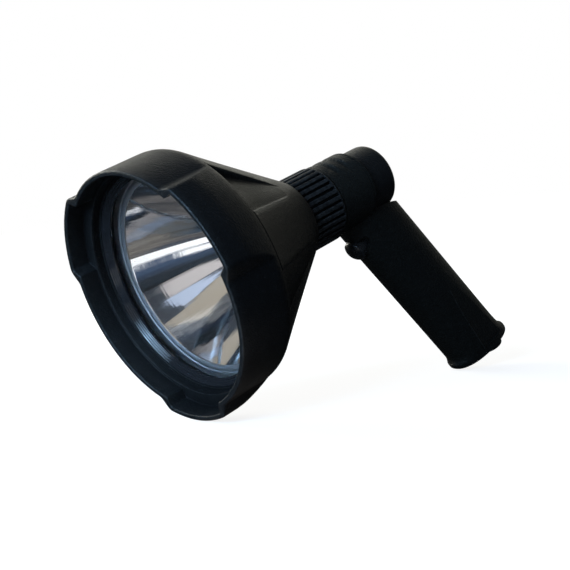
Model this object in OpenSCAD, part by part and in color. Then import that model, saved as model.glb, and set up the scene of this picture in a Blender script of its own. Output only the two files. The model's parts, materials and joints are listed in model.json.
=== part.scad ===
// Handheld searchlight: a lobed shroud and fluted bell on a finned barrel, carried on a pistol grip.
// Every piece is drawn in the lamp's own frame (millimetres): X to the lamp's left, Y along the beam
// axis to the rear, Z up, zero at the centre of the shroud's front edge. set_down() then rests the
// whole lamp on its lowest lobe and on the front lip of the grip's foot.

/* [Shroud] */
// Radius of the shroud over its three lobes
rim_r = 76.5; // [72:0.5:84]
// Height of a lobe above the stretches between
lobe_h = 5.5; // [4:0.25:7]
// Angle that a lobe takes up at half its height
lobe_span = 44; // [36:1:54]
// Angle over which a lobe's ends slope away
lobe_ramp = 8; // [5:0.5:12]
// Depth of the shroud along the beam
bezel_len = 36; // [34:0.5:44]
// Wall of the shroud
bezel_wall = 3; // [2.4:0.2:3.6]
// Depth of the hollow in each lobe
lobe_hollow = 12; // [9:0.5:13]
// Length of the round filter seat behind the lobes
seat_len = 5; // [4:0.5:7]
// Width of the ledge at the filter seat's mouth
seat_ledge = 1.8; // [1.4:0.1:2.4]
// Radial width of the trim ring's face
ring_face = 4.2; // [3:0.1:6]
// Depth of the trim ring
ring_len = 5; // [4:0.25:6]

/* [Optics] */
// Width of the reflector's flat rim that shows inside the trim ring
rim_show = 3.5; // [2:0.25:5]
// Thickness of the clear lens
lens_t = 3; // [2:0.25:3.5]
// Wall of the reflector
reflector_wall = 1.5; // [1.2:0.1:1.8]
// Length of the reflector from its flange to its open neck
reflector_len = 57.5; // [52:0.5:60]
// Radius of the reflector's open neck
reflector_neck_r = 22.3; // [21:0.1:24]

/* [Bell] */
// Length of the bell behind the shroud
bell_len = 68; // [64:0.5:76]
// Radius of the bell's rear edge
bell_neck_r = 25.2; // [24.8:0.1:27]
// Wall of the bell under a flute
bell_wall = 2.2; // [1.8:0.1:2.6]
// Number of flutes round the bell
flutes = 6; // [4:1:7]
// Depth of a flute at the shroud
flute_depth = 6; // [4:0.25:7]
// Width of a flute at the shroud
flute_w = 36; // [24:0.5:40]
// Turn of the first flute from the top, towards the left
flute_turn = 48; // [0:1:60]

/* [Barrel] */
// Radius of the barrel over its fins
barrel_r = 23.2; // [22.9:0.1:24.4]
// Length of the finned barrel
barrel_len = 27; // [22:0.5:34]
// Number of fins
fins = 34; // [24:1:40]
// Depth of the slots between fins
fin_depth = 2.2; // [1.4:0.1:3]
// Width of the slots between fins
fin_gap = 1.9; // [1.4:0.1:2.4]
// Radius of the star board that carries the emitter
led_board_r = 16; // [15:0.25:17.5]

/* [Collar and dimmer] */
// Radius of the collar over the grip
collar_r = 22.4; // [22:0.1:23]
// Length of the collar
collar_len = 27; // [25:0.5:32]
// Radius of the rear dimmer cap
cap_r = 20.2; // [19.8:0.1:21.2]
// Length of the rear dimmer cap
cap_len = 19.8; // [19:0.2:28]
// Rounding of the cap's rear edge
cap_round = 4; // [2:0.25:6]

/* [Grip] */
// Backward lean of the grip from square to the beam
grip_tilt = 26.4; // [20:0.2:30]
// Width of the grip side to side
grip_w = 29; // [28.5:0.5:34]
// Wall of the grip halves
grip_wall = 2.3; // [2:0.1:2.8]
// Room below the battery for the charging socket and the foot
foot_room = 35.6; // [32:0.1:42]
// Turn of the foot's face from square to the grip
foot_turn = 16; // [10:0.5:20]
// Reach of the foot's lip beyond the grip
foot_flare = 3; // [2:0.2:5]
// Growth of the grip's half-width at the foot, below nought for a narrower foot
foot_side = -0.6; // [-0.8:0.1:3]
// Set-back of the foot's lip towards the rear
foot_shift = 0.4; // [0:0.1:1.5]
// Depth of the flat on each side of the grip, at the foot
flat_depth = 1.4; // [0.8:0.1:1.8]
// Length of that flat up the grip
flat_len = 58; // [40:1:70]
// Thickness of the foot plate
plate_t = 2.4; // [2:0.1:3]

/* [Trigger] */
// Radius of the trigger button
button_r = 7.2; // [6.4:0.1:7.6]
// Height of the button's dome above the grip
button_proud = 5; // [4:0.25:8]
// Travel of the trigger
trigger_travel = 3; // [2:0.25:3.5]
// Distance of the trigger below the beam axis, along the grip
trigger_s = 30; // [29:0.25:31]

/* [Battery] */
// Diameter of a cell
cell_d = 18.3; // [17.6:0.1:18.6]
// Length of a cell
cell_len = 65; // [60:0.5:66]
// Gap between the two cells
cell_gap = 1.6; // [1.4:0.1:3]

/* [Fits] */
// Gap between fixed pieces that slip together
slip = 0.2; // [0.1:0.05:0.3]
// Gap in a running fit
run_gap = 0.08; // [0.05:0.01:0.1]
// Gap between a moving piece and what it passes
pass_gap = 0.5; // [0.4:0.05:0.8]

/* [Hidden] */
$fn = 96;
eps = 0.01;
lobe_steps = 6;

// Shroud and the stack of pieces inside it, front to back
low_r = rim_r - lobe_h;
mouth_in_r = low_r - bezel_wall;
seat_r = mouth_in_r - seat_ledge;
ring_r = seat_r - seat_ledge;
seat_y = lobe_hollow + seat_len;
shelf_y = seat_y + ring_len;
shelf_t = 2.5;
shelf_r = ring_r - 2.5;
aperture_r = ring_r - slip - ring_face;
skirt_r = mouth_in_r - 0.2;
gasket_t = 1;
gasket_w = 2.4;
gasket_y = shelf_y + shelf_t;
lens_y = gasket_y + gasket_t;
lens_r = skirt_r - 1.5;
flange_y = lens_y + lens_t;
flange_t = 1.5;
bell_y = flange_y + flange_t;
neck_y = bezel_len + bell_len;

// Reflector: a paraboloid through its mouth and its neck
mouth_r = aperture_r - rim_show;
reflector_end = flange_y + reflector_len;
four_f = (mouth_r * mouth_r - reflector_neck_r * reflector_neck_r) / reflector_len;
apex_y = flange_y + mouth_r * mouth_r / four_f;
focus_y = apex_y - four_f / 4;
function parabola_r(y) = sqrt(max(0, four_f * (apex_y - y)));

// Bell: one smooth curve for the outside, one for the flute floors, one for the inside
function bend(a, b, c, t) = a * (1 - t) * (1 - t) + 2 * b * t * (1 - t) + c * t * t;
curve_steps = 16;
swell_y = 0.3;
swell_r = 0.69;
bell_front_y = bezel_len + 0.3;
rear_edge_r = low_r - 1.4;
bell_front_r = rear_edge_r - 0.2;
function swell(y0, r0, y1, r1) =
    [for (i = [0:curve_steps])
        [bend(r0, r1 + swell_r * (r0 - r1), r1, i / curve_steps),
         bend(y0, y0 + swell_y * (y1 - y0), y1, i / curve_steps)]];
flute_end_y = neck_y - 10;
flute_end_r = bell_neck_r + 6.2;
floor_front_r = bell_front_r - flute_depth;
spigot_r = skirt_r - slip;
spigot_in_r = mouth_r + reflector_wall + 1.5;

// Barrel and what it carries
thread_len = 9;
thread_r = barrel_r - 1.2;
post_r = led_board_r + 2;
post_y = focus_y + 1.8;
thread_y = neck_y - thread_len - 1;
led_board_t = 1.6;
wire_bore_r = 3.4;
wire_r = 0.9;
led_screw_r = 1;
led_screw_len = 8;
led_head_r = 2;
led_head_t = 1.4;
led_screw_inset = 4;
barrel_end = neck_y + barrel_len;
tail_len = 5;
collar_bore_r = collar_r - 4.8;
tail_r = collar_bore_r - slip;

// Collar, bulkhead and the sleeve that the cap turns on
collar_end = barrel_end + collar_len;
bulkhead_t = 3;
bulkhead_y = collar_end - 5;
sleeve_r = cap_r - 3.6;
sleeve_wall = 3;
cap_y = collar_end + 0.6;
cap_end = cap_y + cap_len;
cap_wall = 3.5;
sleeve_end = cap_y + 9;
bush_r = 4.6;
shaft_r = 3;
pot_r = 8.5;
pot_len = 7;
nut_t = 2.4;
bush_end = bulkhead_y + bulkhead_t + nut_t + 1.5;
shaft_len_in = 4;
shaft_end = cap_end - cap_wall - 2;
seal_wire = 0.8;
seal_y = cap_y + 4;

// Driver board behind the barrel
driver_t = 1.6;
driver_y = barrel_end + tail_len;

// Grip: local Z runs down the grip, local Y to its front
grip_y = collar_end - 4.8;
cell_r = cell_d / 2;
cell_room = 0.25;
cell_y = cell_r + cell_gap / 2;
cavity_a = cell_y + cell_r + cell_room;
grip_a = cavity_a + grip_wall;
grip_b = grip_w / 2;
grip_sides = 48;
grip_power = 2.25;
cavity_b = grip_b - grip_wall;
shelf_cut_r = cap_r + pass_gap;
plate_a = grip_a - 1.8;
plate_b = grip_b - 1.8;
boss_r = 3.6;
far = 60;
screw_r = 1.5;
screw_head_r = 2.8;
screw_head_t = 2;
screw_seat_x = 5;
screw_in = 7;

// Cells, their holder and the places of the four grip screws
contact_t = 1.6;
contact_r = 5;
strip_w = 8;
holder_t = 2;
holder_s = trigger_s + 16.4;
cell_s = holder_s + holder_t + contact_t;
holder_end = cell_s + cell_len + contact_t + holder_t;
holder_a = cavity_a - slip;
holder_b = cavity_b - slip;
upper_screw_s = holder_s - boss_r - 0.6;
lower_screw_s = holder_end + boss_r + 1.2;
grip_len = holder_end + foot_room;
screw_inset = 8.7;
screw_reach = cavity_a - screw_inset;
screw_places = [for (s = [upper_screw_s, lower_screw_s], side = [1, -1]) [s, side * screw_reach]];

// Trigger: along the grip's front-to-back axis, sizes measured from the grip's centre line
button_flange_r = button_r + 1.3;
button_flange_t = 2;
button_seat = grip_a - 5;
well_r = button_r + run_gap;
stem_r = 2.5;
switch_top = 8;
switch_h = 6;
switch_w = 10;
plunger_r = 1.8;
stem_end = switch_top + trigger_travel + 0.5;
spring_r = 4.4;
spring_wire = 0.8;
spring_turns = 3;
bracket_t = 2;
bracket_rise = 3.6;
shelf_wall = 0.6;

// Foot: plate, charging socket and its rubber plug
foot_boss_inset = 3.9;
foot_boss_y = 7;
foot_boss_len = 14;
ledge_t = 2;
ledge_w = 1;
flat_stop = 4.6;
foot_screw_len = 8;
foot_head_r = 2.2;
foot_head_t = 1;
foot_boss_r = 3.2;
foot_screw_r = 1.2;
socket_y = -9.5;
socket_r = 5.5;
socket_bore_r = 3.1;
socket_flange_r = 7;
socket_flange_t = 1.2;
socket_len = 12;
plug_r = 9;
plug_h = 8;
plug_crown = 2.6;
plug_pin_r = socket_bore_r - run_gap;
plug_pin_len = 6;

// Stations down the grip: distance above the foot's face, growth of the section, share of the foot's turn
grip_stations = [[grip_len - 6, 0, 0], [22, 0, 0], [13, 0.03, 0.4], [9, 0.1, 0.75], [6.4, 0.28, 1],
                 [4.9, 0.65, 1], [4.1, 0.93, 1], [3.4, 1, 1], [1.4, 1, 1], [0.5, 0.92, 1], [0, 0.75, 1]];

// Resting pose: nose down until the lowest lobe and the foot's front lip share one level
lip_a = grip_a + foot_flare;
lip_reach = lip_a - foot_shift;
lip_s = grip_len - lip_reach * tan(foot_turn);
lip_y = grip_y + lip_s * sin(grip_tilt) - lip_reach * cos(grip_tilt);
lip_z = -lip_s * cos(grip_tilt) - lip_reach * sin(grip_tilt);
pitch = atan2(-rim_r - lip_z, lip_y);
function rest_y(p) = p[0] * cos(pitch) - p[1] * sin(pitch);
function rest_z(p) = p[0] * sin(pitch) + p[1] * cos(pitch);
function heel(st) =
    let (n = grip_a + st[1] * (foot_flare + foot_shift), s = grip_len - st[0] + n * tan(foot_turn) * st[2])
    [grip_y + s * sin(grip_tilt) + n * cos(grip_tilt), n * sin(grip_tilt) - s * cos(grip_tilt)];
front_reach = rest_y([0, low_r]);
back_reach = max([for (st = grip_stations) rest_y(heel(st))]);
centre_y = (front_reach + back_reach) / 2;
floor_z = rest_z([0, -rim_r]);

black = [0.09, 0.09, 0.1];
gloss = [0.03, 0.03, 0.035];
metal = [0.16, 0.16, 0.17];
silver = [0.82, 0.83, 0.85];
board_green = [0.1, 0.34, 0.2];
brass = [0.78, 0.62, 0.3];

// Frames

module set_down() {
    translate([0, -centre_y, -floor_z]) rotate([pitch, 0, 0]) children();
}

// Local Z to the rear, starting at y
module along_beam(y = 0) {
    set_down() translate([0, y, 0]) rotate([-90, 0, 0]) children();
}

// Local Z down the grip, local Y to its front
module along_grip(s = 0) {
    set_down() translate([0, grip_y, 0]) rotate([180 + grip_tilt, 0, 0]) translate([0, 0, s]) children();
}

// Local Z out of the foot's face
module at_foot() {
    along_grip(grip_len) rotate([-foot_turn, 0, 0]) children();
}

// Local Z out of the grip's front, on the trigger's axis
module at_trigger() {
    along_grip(trigger_s) rotate([-90, 0, 0]) children();
}

// Shared shapes

module tube(r_out, r_in, len) {
    difference() {
        cylinder(r = r_out, h = len);
        translate([0, 0, -1]) cylinder(r = r_in, h = len + 2);
    }
}

// Round outline with three raised lobes, at the bottom and at two and ten o'clock; each lobe falls away
// in an S-shaped ramp at both ends
function lobe_slope(r_low, r_high, half, ramp, side) =
    [for (i = [0:lobe_steps])
        let (a = side * (half + ramp / 2 - ramp * i / lobe_steps),
             r = r_low + (r_high - r_low) * (1 - cos(180 * i / lobe_steps)) / 2)
        [r * cos(a), r * sin(a)]];

module lobed_outline(r_low, r_high, half, ramp) {
    foot_r = r_low - 0.4;
    crest = half - ramp / 2;
    past = 1.3 * r_high;
    up = lobe_slope(foot_r, r_high, half, ramp, -1);
    down = lobe_slope(foot_r, r_high, half, ramp, 1);
    circle(r = r_low);
    intersection() {
        circle(r = r_high);
        union() for (turn = [90, 210, 330]) rotate(turn) polygon(concat(
            [[0, 0]], up, [[past * cos(crest), -past * sin(crest)], [past * cos(crest), past * sin(crest)]],
            [for (i = [lobe_steps:-1:0]) down[i]]
        ));
    }
}

// Half of an oval in the grip's cross-section, fuller than an ellipse
function half_oval(a, b) =
    [for (i = [0:grip_sides / 2])
        let (t = -90 + 360 * i / grip_sides)
        [b * pow(abs(cos(t)), 2 / grip_power), a * sign(sin(t)) * pow(abs(sin(t)), 2 / grip_power)]];

module oval(a, b) {
    half = half_oval(a, b);
    polygon(concat(half, [for (i = [len(half) - 2:-1:1]) [-half[i][0], half[i][1]]]));
}

// One half of the grip's outside, lofted through its stations, flat on the parting plane
module grip_loft() {
    rings = [for (st = grip_stations)
        [for (p = half_oval(grip_a + st[1] * foot_flare, grip_b + st[1] * foot_side))
            let (y = p[1] - st[1] * foot_shift)
            [p[0], y, grip_len - st[0] - y * tan(foot_turn) * st[2]]]];
    n = len(rings[0]);
    last = len(rings) - 1;
    points = [for (ring = rings) each ring];
    sides = [for (k = [0:last - 1], i = [0:n - 1]) let (j = (i + 1) % n)
        each [[k * n + i, k * n + j, (k + 1) * n + j], [k * n + i, (k + 1) * n + j, (k + 1) * n + i]]];
    top = [for (i = [n - 1:-1:0]) i];
    foot = [for (i = [0:n - 1]) last * n + i];
    polyhedron(points, [for (f = concat(sides, [top, foot])) [for (k = [len(f) - 1:-1:0]) f[k]]], convexity = 6);
}

// A coil of round wire, one unbroken tube with flat ends
module coil(r, wire_r, height, turns, rings_per_turn = 8, sides = 6) {
    count = turns * rings_per_turn;
    rise = height - 2 * wire_r;
    points = [for (k = [0:count], i = [0:sides - 1])
        let (turn = 360 * k / rings_per_turn, a = 360 * i / sides, out = r + wire_r * cos(a))
        [out * cos(turn), out * sin(turn), wire_r + rise * k / count + wire_r * sin(a)]];
    skin = [for (k = [0:count - 1], i = [0:sides - 1])
        let (j = (i + 1) % sides, a = k * sides, b = a + sides)
        each [[a + i, b + i, b + j], [a + i, b + j, a + j]]];
    start = [for (i = [0:sides - 1]) i];
    stop = [for (i = [sides - 1:-1:0]) count * sides + i];
    polyhedron(points, concat(skin, [start, stop]), convexity = 6);
}

// Head

module bezel() {
    edge = 1.2;
    crown_end = 0.42 * bezel_len;
    shoulder = 0.86 * bezel_len;
    inner_turn = 2.5;
    inner_ramp = 3;
    fade = [for (i = [0:curve_steps / 2]) let (u = 2 * i / curve_steps)
        [bend(rim_r, low_r + 0.3 * lobe_h, rear_edge_r, u), bend(crown_end, shoulder, bezel_len, u)]];
    color(black) along_beam() difference() {
        intersection() {
            linear_extrude(bezel_len) lobed_outline(low_r, rim_r, lobe_span / 2, lobe_ramp);
            rotate_extrude() polygon(concat(
                [[0, 0], [rim_r - edge, 0], [rim_r + 1, edge + 1], [rim_r + 1, crown_end]], fade, [[0, bezel_len]]
            ));
        }
        translate([0, 0, -1]) linear_extrude(lobe_hollow + 1)
            lobed_outline(mouth_in_r, rim_r - bezel_wall, lobe_span / 2 - inner_turn, inner_ramp);
        rotate_extrude() polygon([
            [0, -1], [seat_r, -1], [seat_r, seat_y], [ring_r, seat_y], [ring_r, shelf_y], [shelf_r, shelf_y],
            [shelf_r, gasket_y], [skirt_r, gasket_y], [skirt_r, bezel_len + 1], [0, bezel_len + 1]
        ]);
    }
}

// Ring with a stepped face, one small land and riser after another down to the aperture
module trim_ring() {
    out_r = ring_r - slip;
    front_y = seat_y + 0.4;
    treads = 4;
    tread = ring_face / treads;
    riser = (ring_len - 1.6) / treads;
    color(gloss) along_beam() rotate_extrude() polygon(concat(
        [[out_r, front_y], [out_r, shelf_y], [aperture_r + 0.6, shelf_y], [aperture_r, shelf_y - 0.6]],
        [for (i = [treads - 1:-1:0]) each [
            [out_r - (i + 1) * tread, front_y + (i + 0.7) * riser],
            [out_r - (i + 0.7) * tread, front_y + i * riser]
        ]]
    ));
}

module lens_gasket() {
    color(gloss) along_beam(gasket_y) tube(lens_r, lens_r - gasket_w, gasket_t);
}

module lens() {
    bevel = 0.6;
    color([0.85, 0.93, 1, 0.35]) along_beam() rotate_extrude() polygon([
        [0, lens_y], [lens_r - bevel, lens_y], [lens_r, lens_y + bevel], [lens_r, flange_y], [0, flange_y]
    ]);
}

module reflector() {
    steps = 32;
    inside = [for (i = [0:steps])
        let (y = flange_y + reflector_len * i / steps) [parabola_r(y), y]];
    outside = [for (i = [steps:-1:1]) [inside[i][0] + reflector_wall, inside[i][1]]];
    back = bell_y;
    color(silver) along_beam() rotate_extrude() polygon(concat(inside, outside, [
        [parabola_r(back) + reflector_wall, back], [lens_r, back], [lens_r, flange_y]
    ]));
}

// Wedge of a flute seen along the radius, pointed to the rear and rounded at its tip
module flute_wedge() {
    tip_r = 3;
    length = flute_end_y - bell_front_y;
    rotate([90, 0, 90]) linear_extrude(bell_front_r * 1.5) union() {
        polygon([[-flute_w / 2, bell_front_y - 1], [flute_w / 2, bell_front_y - 1],
                 [tip_r, flute_end_y - tip_r], [-tip_r, flute_end_y - tip_r]]);
        translate([0, flute_end_y - tip_r]) circle(r = tip_r);
    }
}

module bell() {
    outside = swell(bell_front_y, bell_front_r, neck_y, bell_neck_r);
    floors = swell(bell_front_y - 3, floor_front_r + 1.5, flute_end_y + 2, flute_end_r);
    inside = swell(bell_y, spigot_in_r, flute_end_y, flute_end_r - bell_wall);
    thread_front = neck_y - thread_len;
    color(black) along_beam() difference() {
        rotate_extrude() polygon(concat(
            [[spigot_in_r, bell_y], [spigot_r, bell_y], [spigot_r, bell_front_y]], outside,
            [[thread_r + slip, neck_y], [thread_r + slip, thread_front], [flute_end_r - bell_wall, thread_front]],
            [for (i = [curve_steps:-1:1]) inside[i]]
        ));
        for (i = [0:flutes - 1]) difference() {
            rotate(flute_turn - 90 + 360 * i / flutes) flute_wedge();
            rotate_extrude() polygon(concat(
                [[0, 0]], [[floors[0][0], 0]], floors, [[0, flute_end_y + 2]]
            ));
        }
    }
}

module heat_sink() {
    core_r = barrel_r - fin_depth;
    color(metal) along_beam() difference() {
        rotate_extrude() polygon([
            [0, post_y], [post_r, post_y], [post_r, thread_y], [thread_r, thread_y], [thread_r, neck_y],
            [barrel_r, neck_y], [barrel_r, barrel_end - 1.6], [barrel_r - 1.2, barrel_end], [tail_r, barrel_end],
            [tail_r, driver_y], [0, driver_y]
        ]);
        for (i = [0:fins - 1]) rotate(360 * i / fins)
            translate([core_r, -fin_gap / 2, neck_y - 0.5]) cube([fin_depth + 1, fin_gap, barrel_len - 1.5]);
        translate([0, 0, post_y - 1]) cylinder(r = wire_bore_r, h = driver_y - post_y + 2);
        led_screw_places() translate([0, 0, post_y - 1]) cylinder(r = led_screw_r + 0.05, h = led_screw_len + 1);
    }
}

module led_screw_places() {
    for (side = [0, 180]) rotate(side) translate([led_board_r - led_screw_inset, 0, 0]) children();
}

module led_board() {
    color(silver) along_beam() difference() {
        translate([0, 0, post_y - led_board_t]) cylinder(r = led_board_r, h = led_board_t);
        led_screw_places() translate([0, 0, post_y - led_board_t - 1]) cylinder(r = led_screw_r + 0.1, h = led_board_t + 2);
    }
}

module led_emitter() {
    base_t = 1;
    color([0.95, 0.85, 0.35]) along_beam(post_y - led_board_t) {
        translate([-3.5, -3.5, -base_t]) cube([7, 7, base_t]);
        translate([0, 0, -base_t]) rotate([180, 0, 0]) intersection() {
            sphere(r = 2.6);
            translate([-3, -3, 0]) cube([6, 6, 3]);
        }
    }
}

module led_screws() {
    color(silver) along_beam(post_y - led_board_t) led_screw_places() {
        translate([0, 0, -led_head_t]) cylinder(r = led_head_r, h = led_head_t);
        cylinder(r = led_screw_r, h = led_screw_len);
    }
}

module led_leads() {
    color([0.6, 0.08, 0.08]) along_beam(post_y) for (side = [-1, 1])
        translate([side * (wire_r + 0.3), 0, 0]) cylinder(r = wire_r, h = driver_y - post_y);
}

// Barrel's rear: driver and dimmer

module driver_board() {
    color(board_green) along_beam(driver_y) cylinder(r = tail_r - 0.4, h = driver_t);
}

module driver_parts() {
    color(metal) along_beam(driver_y + driver_t) {
        translate([5.5, -4, 0]) cylinder(r = 4, h = 4.4);
        translate([-9, -8, 0]) cube([8, 6, 3]);
        translate([-8, 3, 0]) cube([5, 5, 1.6]);
        translate([2, 4, 0]) cube([7, 4, 2]);
    }
}

module dimmer_body() {
    color(metal) along_beam(bulkhead_y) difference() {
        union() {
            translate([0, 0, -pot_len]) cylinder(r = pot_r, h = pot_len);
            cylinder(r = bush_r, h = bush_end - bulkhead_y);
        }
        translate([0, 0, -shaft_len_in - 0.5])
            cylinder(r = shaft_r + run_gap, h = shaft_len_in + bush_end - bulkhead_y + 2);
    }
}

module dimmer_nut() {
    color(brass) along_beam(bulkhead_y + bulkhead_t) difference() {
        cylinder(r = 7, h = nut_t, $fn = 6);
        translate([0, 0, -1]) cylinder(r = bush_r + slip / 4, h = nut_t + 2);
    }
}

module dimmer_shaft() {
    color(silver) along_beam(bulkhead_y - shaft_len_in) cylinder(r = shaft_r, h = shaft_end - bulkhead_y + shaft_len_in);
}

module rear_cap() {
    bore_r = sleeve_r + run_gap;
    hub_r = 6;
    hub_y = bush_end + pass_gap;
    inner_end = cap_end - cap_wall;
    color(black) along_beam() difference() {
        rotate_extrude() difference() {
            union() {
                translate([0, cap_y]) square([cap_r, cap_len - cap_round]);
                translate([0, cap_end - cap_round - eps]) square([cap_r - cap_round, cap_round + eps]);
                translate([cap_r - cap_round, cap_end - cap_round]) circle(r = cap_round);
            }
            translate([-cap_r, cap_y - 1]) square([cap_r, cap_len + 2]);
            translate([0, cap_y - 1]) square([bore_r, hub_y - cap_y + 1]);
            translate([hub_r, cap_y - 1]) square([bore_r - hub_r, inner_end - cap_y + 1]);
        }
        translate([0, 0, hub_y - 1]) cylinder(r = shaft_r + 0.02, h = shaft_end - hub_y + 1);
    }
}

module cap_seal() {
    color(gloss) along_beam(seal_y) rotate_extrude() translate([sleeve_r - seal_wire - 0.1, 0]) circle(r = seal_wire, $fn = 32);
}

// Grip

// Half a revolve, on the left of the parting plane
module left_revolve() {
    rotate([0, 0, -90]) rotate_extrude(angle = 180) children();
}

module collar_profile() {
    chamfer = 0.8;
    line_y = collar_end - 2.4;
    seal_half = seal_wire + 0.2;
    sleeve_in = sleeve_r - sleeve_wall;
    bulkhead_end = bulkhead_y + bulkhead_t;
    hole_r = bush_r + slip / 2;
    polygon([
        [collar_bore_r, barrel_end], [collar_r, barrel_end], [collar_r, line_y], [collar_r - 0.5, line_y],
        [collar_r - 0.5, line_y + 0.7], [collar_r, line_y + 0.7], [collar_r, collar_end - chamfer],
        [collar_r - chamfer, collar_end], [sleeve_r, collar_end], [sleeve_r, seal_y - seal_half],
        [sleeve_r - 2 * seal_wire - 0.2, seal_y - seal_half], [sleeve_r - 2 * seal_wire - 0.2, seal_y + seal_half],
        [sleeve_r, seal_y + seal_half], [sleeve_r, sleeve_end], [sleeve_in, sleeve_end],
        [sleeve_in, bulkhead_end], [hole_r, bulkhead_end], [hole_r, bulkhead_y], [collar_bore_r, bulkhead_y]
    ]);
}

// Two scooped notches across the collar's top, deepest in the middle
module thumb_notches() {
    scoop_r = 4;
    scoop_depth = 1.5;
    drop = 5;
    for (y = [barrel_end + 8, barrel_end + 16.4])
        along_beam(y) translate([0, drop, 0]) rotate_extrude()
            translate([collar_r - scoop_depth + drop + scoop_r, 0]) circle(r = scoop_r);
}

// Places of the two screws that hold the foot plate, local Z out of the foot's face
module foot_boss_places() {
    for (side = [-1, 1]) at_foot() translate([side * (cavity_b - foot_boss_inset), foot_boss_y, 0]) children();
}

// Room inside the grip, closed above by the collar's floor and by the shelf under the cap
module grip_cavity() {
    top_s = 8;
    past_foot = grip_len + 10;
    difference() {
        along_grip(top_s) linear_extrude(past_foot - top_s) oval(cavity_a, cavity_b);
        along_beam(bulkhead_y - 0.5) cylinder(r = collar_r + shelf_wall, h = far);
        at_foot() translate([-far, -far, -plate_t - ledge_t]) cube([2 * far, 2 * far, far]);
        for (p = screw_places) screw_boss(p);
        foot_boss_places() translate([0, 0, -foot_boss_len]) cylinder(r = foot_boss_r, h = foot_boss_len);
    }
}

module screw_boss(p) {
    along_grip(p[0]) translate([0, p[1], 0]) rotate([0, 90, 0]) cylinder(r = boss_r, h = 2 * grip_w, center = true);
}

// Cuts that both halves share: trigger well, foot recess and the driver's room
module shared_cuts() {
    grip_cavity();
    at_trigger() translate([0, 0, 4]) cylinder(r = well_r, h = 2 * grip_a);
    at_trigger() translate([0, 0, 4]) cylinder(r = button_flange_r + pass_gap, h = button_seat - 4 + slip);
    at_foot() translate([0, 0, -plate_t]) linear_extrude(far) oval(plate_a + slip, plate_b + slip);
    difference() {
        at_foot() translate([0, 0, -plate_t - ledge_t - 1]) linear_extrude(plate_t + ledge_t)
            oval(cavity_a - ledge_w, cavity_b - ledge_w);
        foot_boss_places() translate([0, 0, -foot_boss_len]) cylinder(r = foot_boss_r, h = foot_boss_len);
    }
    thumb_notches();
    foot_boss_places() translate([0, 0, -foot_screw_len - 2.5]) cylinder(r = foot_screw_r + 0.05, h = foot_screw_len + 2.5);
}

// Flat that is let into the left side above the foot, towards the rear, running out up the grip
module palm_flat() {
    lean = 6.5;
    difference() {
        along_grip(grip_len) translate([grip_b - flat_depth * 0.66, 2, 0]) rotate([0, 0, -lean])
            rotate([0, -atan2(flat_depth, flat_len), 0]) translate([0, -40, -1.5 * flat_len]) cube([20, 80, 2 * flat_len]);
        at_foot() translate([-far, -far, -flat_stop]) cube([2 * far, 2 * far, far]);
    }
}

module left_shell() {
    along_beam() left_revolve() collar_profile();
    difference() {
        along_grip() grip_loft();
        palm_flat();
        along_beam(barrel_end - far) cylinder(r = collar_r - 0.4, h = far + collar_len);
        along_beam(collar_end - eps) cylinder(r = shelf_cut_r, h = far);
        along_beam(barrel_end - far) cylinder(r = far, h = far);
    }
}

module grip_left() {
    color(black) difference() {
        left_shell();
        shared_cuts();
        for (p = screw_places) along_grip(p[0]) translate([-1, p[1], 0]) rotate([0, 90, 0]) cylinder(r = screw_r + 0.05, h = screw_in + 1.5);
    }
}

module grip_right() {
    color(black) difference() {
        mirror([1, 0, 0]) left_shell();
        shared_cuts();
        for (p = screw_places) along_grip(p[0]) translate([1, p[1], 0]) rotate([0, -90, 0]) {
            cylinder(r = screw_r + slip, h = screw_seat_x + 2);
            translate([0, 0, screw_seat_x + 1]) cylinder(r = screw_head_r + slip, h = grip_w);
        }
    }
}

module grip_screws() {
    color(silver) for (p = screw_places) along_grip(p[0]) translate([-screw_seat_x, p[1], 0]) rotate([0, 90, 0]) {
        cylinder(r = screw_r, h = screw_seat_x + screw_in);
        translate([0, 0, -screw_head_t]) cylinder(r = screw_head_r, h = screw_head_t);
    }
}

// Foot

module foot_plate() {
    color(black) at_foot() difference() {
        translate([0, 0, -plate_t]) linear_extrude(plate_t) oval(plate_a, plate_b);
        translate([0, socket_y, -plate_t - 1]) cylinder(r = socket_r + slip, h = plate_t + 2);
        for (side = [-1, 1]) translate([side * (cavity_b - foot_boss_inset), foot_boss_y, 0]) {
            translate([0, 0, -plate_t - 1]) cylinder(r = foot_screw_r + slip, h = plate_t + 2);
            translate([0, 0, -foot_head_t - 0.2]) cylinder(r = foot_head_r + slip, h = foot_head_t + 1);
        }
    }
}

module foot_screws() {
    color(silver) foot_boss_places() translate([0, 0, -foot_head_t - 0.2]) {
        cylinder(r = foot_head_r, h = foot_head_t);
        translate([0, 0, -foot_screw_len]) cylinder(r = foot_screw_r, h = foot_screw_len);
    }
}

module charge_socket() {
    color(metal) at_foot() translate([0, socket_y, 0]) difference() {
        union() {
            cylinder(r = socket_flange_r, h = socket_flange_t);
            translate([0, 0, -socket_len]) cylinder(r = socket_r, h = socket_len + eps);
        }
        translate([0, 0, -socket_len + 2]) cylinder(r = socket_bore_r, h = socket_len + 2);
    }
}

module socket_nut() {
    color(brass) at_foot() translate([0, socket_y, -plate_t - 2.4]) difference() {
        cylinder(r = 7.4, h = 2.4, $fn = 6);
        translate([0, 0, -1]) cylinder(r = socket_r + slip / 4, h = 5);
    }
}

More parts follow.
